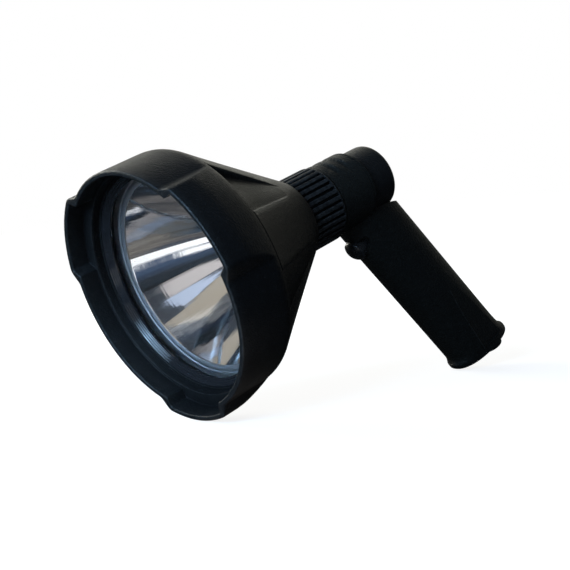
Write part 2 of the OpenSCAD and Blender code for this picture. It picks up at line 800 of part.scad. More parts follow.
module charge_plug() {
    gap = 0.3;
    dome_r = (plug_r * plug_r + plug_crown * plug_crown) / (2 * plug_crown);
    color(gloss) at_foot() translate([0, socket_y, 0]) {
        difference() {
            intersection() {
                translate([0, 0, gap]) cylinder(r = plug_r, h = plug_h);
                translate([0, 0, gap + plug_h - dome_r]) sphere(r = dome_r);
            }
            translate([0, 0, -1]) cylinder(r = socket_flange_r + gap, h = socket_flange_t + 1 + gap);
        }
        translate([0, 0, -plug_pin_len]) cylinder(r = plug_pin_r, h = plug_pin_len + socket_flange_t + 1);
    }
}

// Trigger

module trigger_button() {
    top = grip_a + button_proud;
    crown = 3.4;
    dome_r = (button_r * button_r + crown * crown) / (2 * crown);
    color(gloss) at_trigger() {
        intersection() {
            translate([0, 0, button_seat - eps]) cylinder(r = button_r, h = top - button_seat + eps);
            translate([0, 0, top - dome_r]) sphere(r = dome_r);
        }
        translate([0, 0, button_seat - button_flange_t]) cylinder(r = button_flange_r, h = button_flange_t);
        translate([0, 0, stem_end]) cylinder(r = stem_r, h = button_seat - stem_end - 1);
    }
}

module trigger_spring() {
    gap = 0.1;
    color(silver) at_trigger() translate([0, 0, switch_top + gap])
        coil(spring_r, spring_wire / 2, button_seat - button_flange_t - switch_top - 2 * gap, spring_turns);
}

module switch_plunger() {
    color(silver) at_trigger() translate([0, 0, switch_top - 1]) cylinder(r = plunger_r, h = stem_end - switch_top + 1);
}

module trigger_switch() {
    color(metal) at_trigger() difference() {
        translate([-switch_w / 2, -switch_w / 2, switch_top - switch_h]) cube([switch_w, switch_w, switch_h]);
        translate([0, 0, switch_top - 2 - trigger_travel]) cylinder(r = plunger_r + run_gap, h = trigger_travel + 3);
    }
}

// Plate across the grip that the switch sits on, let into both halves' sides
module switch_bracket() {
    color(silver) at_trigger() translate([0, 0, switch_top - switch_h - bracket_t])
        translate([-cavity_b + 0.6, -switch_w / 2, 0]) cube([2 * cavity_b - 1.2, switch_w / 2 + bracket_rise, bracket_t]);
}

// Battery

module cell_places() {
    for (side = [-1, 1]) translate([0, side * cell_y, 0]) children();
}

module battery_cells() {
    color([0.2, 0.35, 0.6]) along_grip(cell_s) cell_places() cylinder(r = cell_r, h = cell_len);
}

// Two end plates joined by a web that stands between the cells
module battery_holder() {
    web_t = cell_gap - 0.6;
    web_w = 1.6 * cell_r;
    color(black) along_grip() {
        for (s = [holder_s, holder_end - holder_t]) translate([0, 0, s]) linear_extrude(holder_t) oval(holder_a, holder_b);
        translate([-web_w / 2, -web_t / 2, holder_s + holder_t / 2]) cube([web_w, web_t, holder_end - holder_s - holder_t]);
    }
}

module cell_contacts() {
    color(brass) along_grip() {
        translate([0, 0, cell_s - contact_t]) cell_places() cylinder(r = contact_r, h = contact_t);
        for (side = [-1, 1]) translate([-strip_w / 2, side * cell_y - strip_w / 2, cell_s + cell_len]) cube([strip_w, strip_w, contact_t]);
    }
}

bezel();
trim_ring();
lens_gasket();
lens();
reflector();
bell();
heat_sink();
led_board();
led_emitter();
led_screws();
led_leads();
driver_board();
driver_parts();
dimmer_body();
dimmer_nut();
dimmer_shaft();
rear_cap();
cap_seal();
grip_left();
grip_right();
grip_screws();
foot_plate();
foot_screws();
charge_socket();
socket_nut();
charge_plug();
trigger_button();
trigger_spring();
switch_plunger();
trigger_switch();
switch_bracket();
battery_cells();
battery_holder();
cell_contacts();
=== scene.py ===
import json
import math
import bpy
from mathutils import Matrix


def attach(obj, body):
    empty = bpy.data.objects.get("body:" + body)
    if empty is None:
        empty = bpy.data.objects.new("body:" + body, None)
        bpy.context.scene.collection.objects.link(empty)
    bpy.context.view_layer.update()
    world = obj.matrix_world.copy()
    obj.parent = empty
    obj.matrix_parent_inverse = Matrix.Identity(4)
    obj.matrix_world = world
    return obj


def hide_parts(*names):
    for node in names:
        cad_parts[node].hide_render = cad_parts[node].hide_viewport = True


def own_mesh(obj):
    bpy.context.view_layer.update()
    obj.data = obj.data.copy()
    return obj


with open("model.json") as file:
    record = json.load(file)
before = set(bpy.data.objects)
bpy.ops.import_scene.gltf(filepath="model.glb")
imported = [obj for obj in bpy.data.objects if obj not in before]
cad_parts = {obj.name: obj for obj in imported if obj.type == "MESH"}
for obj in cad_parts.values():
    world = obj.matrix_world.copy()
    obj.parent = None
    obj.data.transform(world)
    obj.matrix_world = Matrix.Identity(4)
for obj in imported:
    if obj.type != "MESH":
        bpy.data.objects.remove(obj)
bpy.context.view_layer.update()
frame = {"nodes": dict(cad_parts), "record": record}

from types import SimpleNamespace

import bmesh
import bpy
from bpy.props import FloatProperty, FloatVectorProperty, IntProperty, PointerProperty
from mathutils import Matrix, Vector

bl_info = {
    "name": "Handheld searchlight dressing",
    "version": (1, 0, 0),
    "blender": (4, 5, 0),
    "location": "View3D > Sidebar > Searchlight",
    "description": "Builds the visible pieces and finishes of a handheld searchlight round its packed solids",
    "category": "Object",
}

FULL_TURN = 2 * math.pi

# The lamp's own frame: X to its left, Y to the rear along the beam, Z up, zero at the shroud's front edge
SEAT = next(m for m in frame["record"]["mounts"] if m["name"] == "filter_seat")
OUT_OF_MOUTH = Vector(SEAT["axis"])
NOSE_DOWN = math.atan2(-OUT_OF_MOUTH.z, -OUT_OF_MOUTH.y)
SEAT_MIDDLE = 0.0145
MOUTH = Vector(SEAT["pos_m"]) + OUT_OF_MOUTH * SEAT_MIDDLE
LAMP = Matrix.Translation(MOUTH) @ Matrix.Rotation(NOSE_DOWN, 4, "X")

# Small fixed sizes of the part's source
SLIP = 0.0002
SHELF_T = 0.0025
SHELF_W = 0.0025
GASKET_T = 0.001
FLANGE_T = 0.0015
LENS_PLAY = 0.0015
REAR_EDGE_STEP = 0.0014
EMITTER_LIFT = 0.0018
GRIP_SET = 0.0048
THREAD_STEP = 0.0012
COLLAR_WALL = 0.0048
DRIVER_SET = 0.005
CAP_GAP = 0.0006

# Dip of the mirror's rounded rim behind its flange
BOWL_SAG = 0.0009

# Most of an edge that the rounding at one of its ends may take
LARGEST_SHARE = 0.48


def length(name, description, default):
    return FloatProperty(name=name, description=description, default=default, unit="LENGTH", precision=5)


def turn(name, description, degrees):
    return FloatProperty(name=name, description=description, default=math.radians(degrees), unit="ROTATION")


def colour(name, description, default):
    return FloatVectorProperty(name=name, description=description, default=default, size=3,
                               subtype="COLOR", min=0, max=1)


def amount(name, description, default):
    return FloatProperty(name=name, description=description, default=default)


def count(name, description, default):
    return IntProperty(name=name, description=description, default=default)


def point(name, description, default):
    return FloatVectorProperty(name=name, description=description, default=default, size=3, subtype="XYZ")


class LampHeadSizes(bpy.types.PropertyGroup):
    """Sizes of the shroud, the optics and the bell"""
    rim_r: length("Rim radius", "Radius of the shroud over its lobes", 0.0765)
    lobe_h: length("Lobe height", "Height of a lobe above the stretches between", 0.0055)
    lobe_span: turn("Lobe span", "Angle that a lobe takes up at half its height", 44)
    lobe_ramp: turn("Lobe ramp", "Angle over which a lobe's ends slope away", 8)
    shroud_len: length("Shroud length", "Depth of the shroud along the beam", 0.036)
    shroud_wall: length("Shroud wall", "Wall of the shroud", 0.003)
    lobe_hollow: length("Lobe hollow", "Depth of the hollow in each lobe", 0.012)
    seat_len: length("Seat length", "Length of the round filter seat", 0.005)
    seat_ledge: length("Seat ledge", "Width of the ledge at the seat's mouth", 0.0018)
    ring_face: length("Ring face", "Radial width of the trim ring's face", 0.0042)
    ring_len: length("Ring depth", "Depth of the trim ring", 0.005)
    ring_treads: count("Ring steps", "Steps on the trim ring's face", 4)
    lip_round: length("Lip rounding", "Rounding of the shroud's front lip", 0.0011)
    ridges: count("Seat ridges", "Fine ridges round the filter seat", 4)
    ridge_r: length("Ridge radius", "Radius of one fine ridge", 0.00028)
    rim_show: length("Mirror rim", "Width of the reflector's flat rim inside the trim ring", 0.0035)
    lens_t: length("Lens thickness", "Thickness of the clear lens", 0.003)
    reflector_wall: length("Reflector wall", "Wall of the reflector", 0.0015)
    reflector_len: length("Reflector length", "Length of the reflector from flange to neck", 0.0575)
    reflector_neck_r: length("Reflector neck", "Radius of the reflector's open neck", 0.0223)
    bell_len: length("Bell length", "Length of the bell behind the shroud", 0.068)
    bell_neck_r: length("Bell neck", "Radius of the bell's rear edge", 0.0252)
    bell_wall: length("Bell wall", "Wall of the bell under a flute", 0.0022)
    flutes: count("Flutes", "Number of flutes round the bell", 6)
    flute_depth: length("Flute depth", "Depth of a flute at the shroud", 0.006)
    flute_w: length("Flute width", "Width of a flute at the shroud", 0.036)
    flute_turn: turn("Flute turn", "Turn of the first flute from the top", 48)
    flute_round: length("Flute rounding", "Rounding along the edges of a flute", 0.0011)


class LampBodySizes(bpy.types.PropertyGroup):
    """Sizes of the barrel, the cap, the trigger and the foot"""
    barrel_r: length("Barrel radius", "Radius of the barrel over its fins", 0.0232)
    barrel_len: length("Barrel length", "Length of the finned barrel", 0.027)
    fins: count("Fins", "Number of fins", 34)
    fin_depth: length("Fin depth", "Depth of the slots between fins", 0.0022)
    fin_gap: length("Fin gap", "Width of the slots between fins", 0.0019)
    fin_round: length("Fin rounding", "Rounding of a fin's crest", 0.0005)
    star_r: length("Star radius", "Radius of the emitter's star board", 0.016)
    collar_r: length("Collar radius", "Radius of the collar over the grip", 0.0224)
    collar_len: length("Collar length", "Length of the collar", 0.027)
    cap_r: length("Cap radius", "Radius of the rear dimmer cap", 0.0202)
    cap_len: length("Cap length", "Length of the rear dimmer cap", 0.0198)
    cap_round: length("Cap rounding", "Rounding of the cap's rear edge", 0.004)
    grip_tilt: turn("Grip lean", "Backward lean of the grip", 26.4)
    grip_len: length("Grip length", "Length of the grip from the beam axis", 0.1542)
    grip_a: length("Grip half depth", "Half of the grip, front to back", 0.02165)
    grip_b: length("Grip half width", "Half of the grip, side to side", 0.0145)
    grip_fullness: amount("Grip fullness", "Fullness of the grip's oval, 2 for an ellipse", 2.25)
    flat_depth: length("Flat depth", "Depth of the flat on each side, at the foot", 0.0014)
    flat_len: length("Flat length", "Length of the flat up the grip", 0.058)
    flat_lean: turn("Flat lean", "Turn of the flat towards the rear", 6.5)
    crease_r: length("Crease bead", "Radius of the bead along the flat's front edge", 0.0003)
    foot_turn: turn("Foot turn", "Turn of the foot's face from square to the grip", 16)
    trigger_s: length("Trigger place", "Distance of the trigger below the beam axis", 0.030)
    button_r: length("Button radius", "Radius of the trigger button", 0.0072)
    button_proud: length("Button height", "Height of the button above the grip", 0.005)
    plug_r: length("Plug radius", "Radius of the charging plug's dome", 0.009)
    plug_h: length("Plug height", "Height of the charging plug", 0.008)
    plug_crown: length("Plug crown", "Rise of the plug's dome", 0.0026)


class LampFinishes(bpy.types.PropertyGroup):
    """Colours and surface textures of the finishes"""
    shell: colour("Shell", "Moulded black of the shell", (0.0030, 0.0031, 0.0033))
    grip: colour("Grip", "Moulded black of the grip", (0.0050, 0.0052, 0.0046))
    # The same lighter colour is a painted highlight along the grip's crease beads
    shell_rub_and_highlight: colour("Rubbed shell", "Shell where its edges are rubbed", (0.030, 0.030, 0.029))
    trim: colour("Trim", "Glossy black of the trim ring", (0.006, 0.006, 0.007))
    rubber: colour("Rubber", "Seals and the charging plug", (0.0075, 0.0075, 0.0080))
    button: colour("Button", "Trigger button", (0.0050, 0.0050, 0.0055))
    fin: colour("Fins", "Black coat of the finned barrel", (0.0020, 0.0021, 0.0024))
    mirror: colour("Mirror", "Reflector's bright coat", (0.93, 0.94, 0.96))
    lens: colour("Lens", "Clear lens", (0.975, 0.985, 0.99))
    steel: colour("Steel", "Screws, spring and shaft", (0.52, 0.52, 0.53))
    brass: colour("Brass", "Nuts and battery contacts", (0.62, 0.45, 0.19))
    board: colour("Board", "Driver board", (0.012, 0.075, 0.035))
    star: colour("Star board", "Aluminium board under the emitter", (0.72, 0.73, 0.74))
    phosphor: colour("Phosphor", "Emitter's yellow coat", (0.83, 0.62, 0.11))
    wrap: colour("Cell wrap", "Sleeve of the battery cells", (0.035, 0.10, 0.28))
    wire: colour("Wire", "Leads to the emitter", (0.32, 0.012, 0.012))
    component: colour("Component", "Moulded electrical parts", (0.02, 0.02, 0.021))
    grain_pitch: length("Grain pitch", "Size of the moulded grain", 0.0010)
    mirror_lean: amount("Mirror lean", "Slope that opens the mirror's sheen towards the mouth", 0.11)
    grain_depth: amount("Grain depth", "Strength of the moulded grain", 0.6)


class LampStage(bpy.types.PropertyGroup):
    """Camera, lamps, backdrop and what the mirror shows"""
    eye: point("Camera place", "Camera in the lamp's frame", (0.5869, -0.3559, 0.1633))
    aim: point("Camera aim", "Point that the camera looks at", (0.04707, 0.0515, -0.01732))
    roll: turn("Camera roll", "Roll of the camera against upright", -4.31)
    lens_mm: amount("Focal length", "Focal length in millimetres", 82.5)
    key_power: amount("Key power", "Power of the lamp behind on the right", 1.8)
    fill_power: amount("Fill power", "Power of the lamp on the right", 10.0)
    cool_power: amount("Cool power", "Power of the cool lamp at the front", 32.0)
    cool: colour("Cool light", "Colour of the front lamp", (0.42, 0.68, 1.0))
    warm: colour("Key light", "Colour of the lamp behind", (1.0, 0.99, 0.88))
    sweep: colour("Backdrop", "Backdrop as glossy pieces show it", (1.0, 1.0, 0.86))
    sweep_way: point("Backdrop way", "Way to the middle of the lit backdrop", (-0.28, 0.82, 0.45))
    sweep_level: amount("Backdrop level", "Brightness of the backdrop as glossy pieces show it", 0.42)
    room: colour("Room", "Dim room behind the camera as glossy pieces show it", (0.060, 0.068, 0.082))
    pale: colour("Pale card", "Pinkish white card low on the lamp's left", (0.76, 0.71, 0.70))
    sky: colour("Sky card", "Pale blue card above the pale one", (0.68, 0.79, 1.0))
    sand: colour("Sand card", "Sand-coloured card overhead", (0.54, 0.48, 0.39))
    table: colour("Table sheen", "Lit floor under the mouth as the mirror shows it", (0.20, 0.18, 0.165))
    dusk: colour("Table dusk", "Floor beside the lamp as the mirror shows it", (0.055, 0.088, 0.160))
    dark: colour("Table shade", "Rest of the floor as glossy pieces show it", (0.012, 0.013, 0.015))
    gleam: amount("Gleam", "Brightness of the white streaks on the floor in the mirror", 1.6)


# Mesh helpers

def bend(a, b, c, t):
    return a * (1 - t) ** 2 + 2 * b * t * (1 - t) + c * t * t


def bend_at(a, b, c, value):
    """Step along a bend at which it reaches a value."""
    q, p = a - 2 * b + c, b - a
    if abs(q) < 1e-9:
        return (value - a) / (2 * p)
    root = math.sqrt(max(0.0, p * p - q * (a - value)))
    return (-p + root) / q if 0 <= (-p + root) / q <= 1.0001 else (-p - root) / q


def smooth(t):
    t = min(1.0, max(0.0, t))
    return t * t * (3 - 2 * t)


def soft_min(a, b, k):
    h = max(0.0, 1 - abs(a - b) / k)
    return min(a, b) - h * h * k / 4


def rounded(corners, steps=4, closed=True):
    """Outline with rounded corners: (radius, height, rounding, rub) to (radius, height, rub)."""
    out = []
    last = len(corners) - 1
    for i, (r, z, size, rub_and_highlight) in enumerate(corners):
        here = Vector((r, z))
        if size <= 0 or (not closed and i in (0, last)):
            out.append((r, z, 0.0))
            continue
        before = Vector(corners[i - 1][:2]) - here
        after = Vector(corners[(i + 1) % len(corners)][:2]) - here
        a, b = (here + edge.normalized() * min(size, LARGEST_SHARE * edge.length) for edge in (before, after))
        for k in range(steps + 1):
            t = k / steps
            wear_and_highlight = rub_and_highlight * math.sin(math.pi * (k + 1) / (steps + 2))
            out.append((bend(a.x, r, b.x, t), bend(a.y, z, b.y, t), wear_and_highlight))
    return out


def grid(bm, rings, closed=False):
    """Faces over rings of (x, y, z, rub) points, each ring closed on itself; returns the rows of vertices."""
    rub_and_highlight = bm.verts.layers.float.new("rub_and_highlight")
    rows = []
    for ring in rings:
        row = []
        for x, y, z, wear_and_highlight in ring:
            vert = bm.verts.new((x, y, z))
            vert[rub_and_highlight] = wear_and_highlight
            row.append(vert)
        rows.append(row)
    for lower, upper in zip(rows, rows[1:] + rows[:1] if closed else rows[1:]):
        for i in range(len(lower)):
            j = (i + 1) % len(lower)
            bm.faces.new((lower[i], lower[j], upper[j], upper[i]))
    return rows


def merge(bm, apart, sliver):
    bmesh.ops.remove_doubles(bm, verts=bm.verts, dist=apart)
    bmesh.ops.dissolve_degenerate(bm, edges=bm.edges, dist=sliver)


def mesh_from(bm, name):
    mesh = bpy.data.meshes.new(name)
    bm.to_mesh(mesh)
    bm.free()
    return mesh


def shade(mesh, sharp=34):
    """Soft shading, crisp where faces meet at more than an angle in degrees."""
    mesh.shade_smooth()
    mesh.set_sharp_from_angle(angle=math.radians(sharp))
    return mesh


def skin(name, rings, matrix, closed=False, sharp=34):
    """Mesh over rings of points, as grid takes them."""
    bm = bmesh.new()
    grid(bm, rings, closed)
    merge(bm, 2e-7, 1e-8)
    bmesh.ops.recalc_face_normals(bm, faces=bm.faces)
    bm.transform(matrix)
    return shade(mesh_from(bm, name), sharp)


def turned(name, outline, matrix, sides=128, closed=True):
    """Solid of revolution about local Z from an outline of (radius, height, rub)."""
    rings = [[(r * math.cos(FULL_TURN * i / sides), r * math.sin(FULL_TURN * i / sides), z, rub_and_highlight)
              for i in range(sides)] for r, z, rub_and_highlight in outline]
    return skin(name, rings, matrix, closed)


def dome(radius, crown, top, steps=14):
    """Outline over a shallow dome, from its middle to just short of its edge."""
    ball = (radius ** 2 + crown ** 2) / (2 * crown)
    return [(radius * k / steps, top - ball + math.sqrt(ball ** 2 - (radius * k / steps) ** 2), 0.0)
            for k in range(steps)]


def joined(name, *meshes):
    """One mesh from several, each removed afterwards."""
    bm = bmesh.new()
    for mesh in meshes:
        bm.from_mesh(mesh)
        bpy.data.meshes.remove(mesh)
    return mesh_from(bm, name)


def smooth_copy(name, cad_node, flat=None, sharp=28):
    """Merged copy of a CAD node, soft across its facets and crisp round a flat that faces the given way."""
    mesh = frame["nodes"][cad_node].data.copy()
    mesh.name = name
    bm = bmesh.new()
    bm.from_mesh(mesh)
    merge(bm, 4e-6, 1e-7)
    bm.to_mesh(mesh)
    bm.free()
    for old in ("sharp_face", "sharp_edge", "custom_normal"):
        if old in mesh.attributes:
            mesh.attributes.remove(mesh.attributes[old])
    mesh.materials.clear()
    shade(mesh, sharp)
    if flat:
        on_flat = {}
        for face in mesh.polygons:
            for key in face.edge_keys:
                on_flat.setdefault(key, set()).add(face.normal.dot(flat) > 0.9999)
        for edge in mesh.edges:
            if len(on_flat[edge.key]) == 2:
                edge.use_edge_sharp = True
    return mesh


def add_piece(name, mesh, body, slot, *nodes, look=None):
    """Object at the origin that rides on a body, takes the finish that look or else slot names, and stands for
    CAD nodes.
    """
    if not mesh.polygons:
        raise RuntimeError(f"{name} has no faces")
    piece = bpy.data.objects.new(name, mesh)
    bpy.context.scene.collection.objects.link(piece)
    mesh.materials.clear()
    mesh.materials.append(finish(look or slot))
    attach(piece, body)
    if nodes:
        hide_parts(*nodes)
    return piece


def coat(look, *nodes):
    """Gives CAD nodes a finish in place of their plain one."""
    for cad_node in nodes:
        for slot in frame["nodes"][cad_node].material_slots:
            slot.material = finish(look)


# Frames along the lamp, local Z as in the part's source

def along_beam(y=0.0):
    return LAMP @ Matrix.Translation((0, y, 0)) @ Matrix.Rotation(-math.pi / 2, 4, "X")


def along_grip(b, d, s=0.0):
    return (LAMP @ Matrix.Translation((0, d.grip_y, 0)) @ Matrix.Rotation(math.pi + b.grip_tilt, 4, "X")
            @ Matrix.Translation((0, 0, s)))


def at_foot(b, d):
    return along_grip(b, d, b.grip_len) @ Matrix.Rotation(-b.foot_turn, 4, "X")


def at_trigger(b, d):
    return along_grip(b, d, b.trigger_s) @ Matrix.Rotation(-math.pi / 2, 4, "X")


def derived(h, b):
    """Sizes that follow from the ones a user sets."""
    d = SimpleNamespace()
    d.low_r = h.rim_r - h.lobe_h
    d.mouth_in_r = d.low_r - h.shroud_wall
    d.seat_r = d.mouth_in_r - h.seat_ledge
    d.ring_r = d.seat_r - h.seat_ledge
    d.seat_y = h.lobe_hollow + h.seat_len
    d.shelf_y = d.seat_y + h.ring_len
    d.gasket_y = d.shelf_y + SHELF_T
    d.lens_y = d.gasket_y + GASKET_T
    d.flange_y = d.lens_y + h.lens_t
    d.bell_y = d.flange_y + FLANGE_T
    d.neck_y = h.shroud_len + h.bell_len
    d.shelf_r = d.ring_r - SHELF_W
    d.aperture_r = d.ring_r - SLIP - h.ring_face
    d.skirt_r = d.mouth_in_r - SLIP
    d.lens_r = d.skirt_r - LENS_PLAY
    d.mouth_r = d.aperture_r - h.rim_show
    d.rear_edge_r = d.low_r - REAR_EDGE_STEP
    d.four_f = (d.mouth_r ** 2 - h.reflector_neck_r ** 2) / h.reflector_len
    d.apex_y = d.flange_y + d.mouth_r ** 2 / d.four_f
    d.post_y = d.apex_y - d.four_f / 4 + EMITTER_LIFT
    d.barrel_end = d.neck_y + b.barrel_len
    d.collar_end = d.barrel_end + b.collar_len
    d.grip_y = d.collar_end - GRIP_SET
    d.thread_r = b.barrel_r - THREAD_STEP
    d.tail_r = b.collar_r - COLLAR_WALL - SLIP
    d.driver_y = d.barrel_end + DRIVER_SET
    d.cap_y = d.collar_end + CAP_GAP
    return d


def settings():
    scene = bpy.context.scene
    h, b = scene.lamp_head, scene.lamp_body
    return h, b, derived(h, b)


# Shader helpers

def link(tree, source, target):
    tree.links.new(source, target)


def node(tree, kind, **values):
    made = tree.nodes.new(kind)
    for name, value in values.items():
        setattr(made, name, value)
    return made


def feed(tree, socket, value):
    """Links a socket to another one, or sets it to a plain value."""
    if isinstance(value, bpy.types.NodeSocket):
        link(tree, value, socket)
    else:
        socket.default_value = value


def fed(tree, kind, **inputs):
    """First output of a node whose inputs are linked or set by name."""
    made = node(tree, kind)
    for name, value in inputs.items():
        feed(tree, made.inputs[name.replace("_", " ")], value)
    return made.outputs[0]


def math_node(tree, operation, a, b=None, kind="ShaderNodeMath"):
    made = node(tree, kind, operation=operation)
    for socket, value in zip(made.inputs, (a, b)):
        if value is not None:
            feed(tree, socket, value)
    return made.outputs["Value"]


def measure(tree, operation, a, b=None):
    """Number worked out from one or two vectors."""
    return math_node(tree, operation, a, b, "ShaderNodeVectorMath")


def noise(tree, place, scale, detail=2.0, rough=0.5, distortion=0.0, line=False):
    """Noise over a place, or along a line."""
    made = node(tree, "ShaderNodeTexNoise", noise_dimensions="1D" if line else "3D")
    link(tree, place, made.inputs["W" if line else "Vector"])
    for name, value in (("Scale", scale), ("Detail", detail), ("Roughness", rough), ("Distortion", distortion)):
        feed(tree, made.inputs[name], value)
    return made.outputs["Fac"]


def remap(tree, value, low, high, to_low=0.0, to_high=1.0):
    made = node(tree, "ShaderNodeMapRange", clamp=True)
    for name, number in (("Value", value), ("From Min", low), ("From Max", high),
                         ("To Min", to_low), ("To Max", to_high)):
        feed(tree, made.inputs[name], number)
    return made.outputs["Result"]


def mixed(tree, factor, a, b):
    made = node(tree, "ShaderNodeMix", data_type="RGBA")
    feed(tree, made.inputs["Factor"], factor)
    for name, value in (("A", a), ("B", b)):
        socket = next(s for s in made.inputs if s.name == name and s.type == "RGBA")
        feed(tree, socket, value if isinstance(value, bpy.types.NodeSocket) else (*value[:3], 1.0))
    return next(s for s in made.outputs if s.type == "RGBA")


def times(tint, share):
    return [c * share for c in tint]


def object_place(tree):
    return node(tree, "ShaderNodeTexCoord").outputs["Object"]


def shader_group(name, inputs, *outputs):
    """Empty shader node group with number inputs by name and default, and number outputs by name."""
    tree = bpy.data.node_groups.new(name, "ShaderNodeTree")
    for socket, default in inputs.items():
        made = tree.interface.new_socket(socket, in_out="INPUT", socket_type="NodeSocketFloat")
        made.default_value = default
    for socket in outputs:
        tree.interface.new_socket(socket, in_out="OUTPUT", socket_type="NodeSocketFloat")
    return tree, node(tree, "NodeGroupInput").outputs, node(tree, "NodeGroupOutput").inputs


def moulded_grain_group():
    """Fine moulded grain with slow patches of more and less gloss."""
    tree, given, out = shader_group("moulded_grain", {"Pitch": 0.00055}, "Height", "Speck", "Patch")
    place = object_place(tree)
    per_metre = math_node(tree, "DIVIDE", 1.0, given["Pitch"])
    pebbles = node(tree, "ShaderNodeTexVoronoi", feature="SMOOTH_F1")
    for name, value in (("Vector", place), ("Scale", per_metre), ("Smoothness", 0.6)):
        feed(tree, pebbles.inputs[name], value)
    fine = noise(tree, place, math_node(tree, "MULTIPLY", per_metre, 1.7), 3.0)
    dips = math_node(tree, "MULTIPLY", pebbles.outputs["Distance"], -0.6)
    link(tree, math_node(tree, "ADD", dips, fine), out["Height"])
    link(tree, remap(tree, fine, 0.35, 0.65), out["Speck"])
    link(tree, remap(tree, noise(tree, place, 38.0, 4.0, 0.6), 0.3, 0.7), out["Patch"])
    return tree


def rub_and_highlight_group():
    """Rubbing along the edges that a mesh marks, and the painted highlight along the grip's crease beads, broken
    up by noise.
    """
    tree, given, out = shader_group("edge_rub_and_highlight", {"Reach": 0.6}, "Mask")
    marked = node(tree, "ShaderNodeAttribute", attribute_name="rub_and_highlight").outputs["Fac"]
    broken = remap(tree, noise(tree, object_place(tree), 420.0, 5.0, 0.65), 0.32, 0.68)
    wear_and_highlight = math_node(tree, "MULTIPLY", marked, broken)
    link(tree, math_node(tree, "MULTIPLY", wear_and_highlight, given["Reach"]), out["Mask"])
    return tree


def smudge_group():
    """Handling marks and settled dust, as soft masks."""
    tree, given, out = shader_group("handling", {"Spread": 22.0}, "Smudge", "Dust")
    place = object_place(tree)
    soft = noise(tree, place, given["Spread"], 5.0, distortion=0.8)
    link(tree, remap(tree, soft, 0.42, 0.72), out["Smudge"])
    link(tree, remap(tree, noise(tree, place, 900.0), 0.66, 0.80), out["Dust"])
    return tree


def ring_streak_group():
    """Streaks round the beam axis and along it, for turned and coated surfaces."""
    tree, given, out = shader_group("beam_streaks", {"Around": 60.0, "Along": 900.0},
                                    "Around", "Along", "Cloud")
    place = object_place(tree)
    to_lamp = node(tree, "ShaderNodeMapping", vector_type="TEXTURE")
    for name, value in (("Vector", place), ("Location", LAMP.translation), ("Rotation", (NOSE_DOWN, 0, 0))):
        feed(tree, to_lamp.inputs[name], value)
    apart = node(tree, "ShaderNodeSeparateXYZ")
    link(tree, to_lamp.outputs["Vector"], apart.inputs["Vector"])
    x, y, z = apart.outputs
    radius = math_node(tree, "SQRT", math_node(tree, "ADD", math_node(tree, "POWER", x, 2.0),
                                               math_node(tree, "POWER", z, 2.0)))
    across = fed(tree, "ShaderNodeCombineXYZ", X=math_node(tree, "DIVIDE", x, radius),
                 Y=math_node(tree, "DIVIDE", z, radius))
    link(tree, noise(tree, across, given["Around"], 4.0), out["Around"])
    link(tree, noise(tree, y, given["Along"], 3.0, line=True), out["Along"])
    link(tree, noise(tree, place, 45.0, 3.0), out["Cloud"])
    return tree


GROUPS = {}


def group(tree, name, **values):
    """Places a shared effect, built the first time it is asked for."""
    makers = {"grain": moulded_grain_group, "rub_and_highlight": rub_and_highlight_group, "handling": smudge_group,
              "streaks": ring_streak_group}
    if name not in GROUPS:
        GROUPS[name] = makers[name]()
    made = node(tree, "ShaderNodeGroup", node_tree=GROUPS[name])
    for socket, value in values.items():
        made.inputs[socket].default_value = value
    return made.outputs


def blank_material(name):
    material = bpy.data.materials.new(name)
    material.use_nodes = True
    tree = material.node_tree
    return material, tree, tree.nodes["Principled BSDF"]


def bump(tree, shader, height, strength, distance=0.0002, under=None):
    made = node(tree, "ShaderNodeBump")
    if under is not None:
        link(tree, under, made.inputs["Normal"])
    made.inputs["Strength"].default_value = strength
    made.inputs["Distance"].default_value = distance
    link(tree, height, made.inputs["Height"])
    link(tree, made.outputs["Normal"], shader.inputs["Normal"])
    return made.outputs["Normal"]


MATERIALS = {}


def finish(name):
    """Finish by name, built the first time it is asked for."""
    if name not in MATERIALS:
        MATERIALS[name] = FINISHES[name](name, bpy.context.scene.lamp_finish)
    return MATERIALS[name]


def moulded(name, f, base, rubbed, rough, relief, gloss, grain=1.0):
    """Moulded plastic: grain in the relief, patchy gloss, rubbed edges, a painted highlight where the grip's
    crease beads are marked, and a little dust.
    """
    material, tree, shader = blank_material(name)
    texture = group(tree, "grain", Pitch=f.grain_pitch * grain)
    wear_and_highlight = group(tree, "rub_and_highlight")["Mask"]
    marks = group(tree, "handling")
    speck = mixed(tree, texture["Speck"], times(base, 0.4), times(base, 2.2))
    patch = mixed(tree, texture["Patch"], speck, times(base, 1.12))
    dusted = mixed(tree, math_node(tree, "MULTIPLY", marks["Dust"], 0.10), patch, (0.20, 0.19, 0.18))
    link(tree, mixed(tree, wear_and_highlight, dusted, rubbed), shader.inputs["Base Color"])
    uneven = math_node(tree, "ADD", remap(tree, texture["Patch"], 0.0, 1.0, rough - 0.035, rough + 0.045),
                       math_node(tree, "MULTIPLY", marks["Smudge"], -0.05))
    for mask, share in ((texture["Speck"], 0.10), (wear_and_highlight, 0.12)):
        uneven = math_node(tree, "SUBTRACT", uneven, math_node(tree, "MULTIPLY", mask, share))
    link(tree, uneven, shader.inputs["Roughness"])
    shader.inputs["Specular IOR Level"].default_value = gloss
    bump(tree, shader, texture["Height"], relief, 0.0005)
    return material


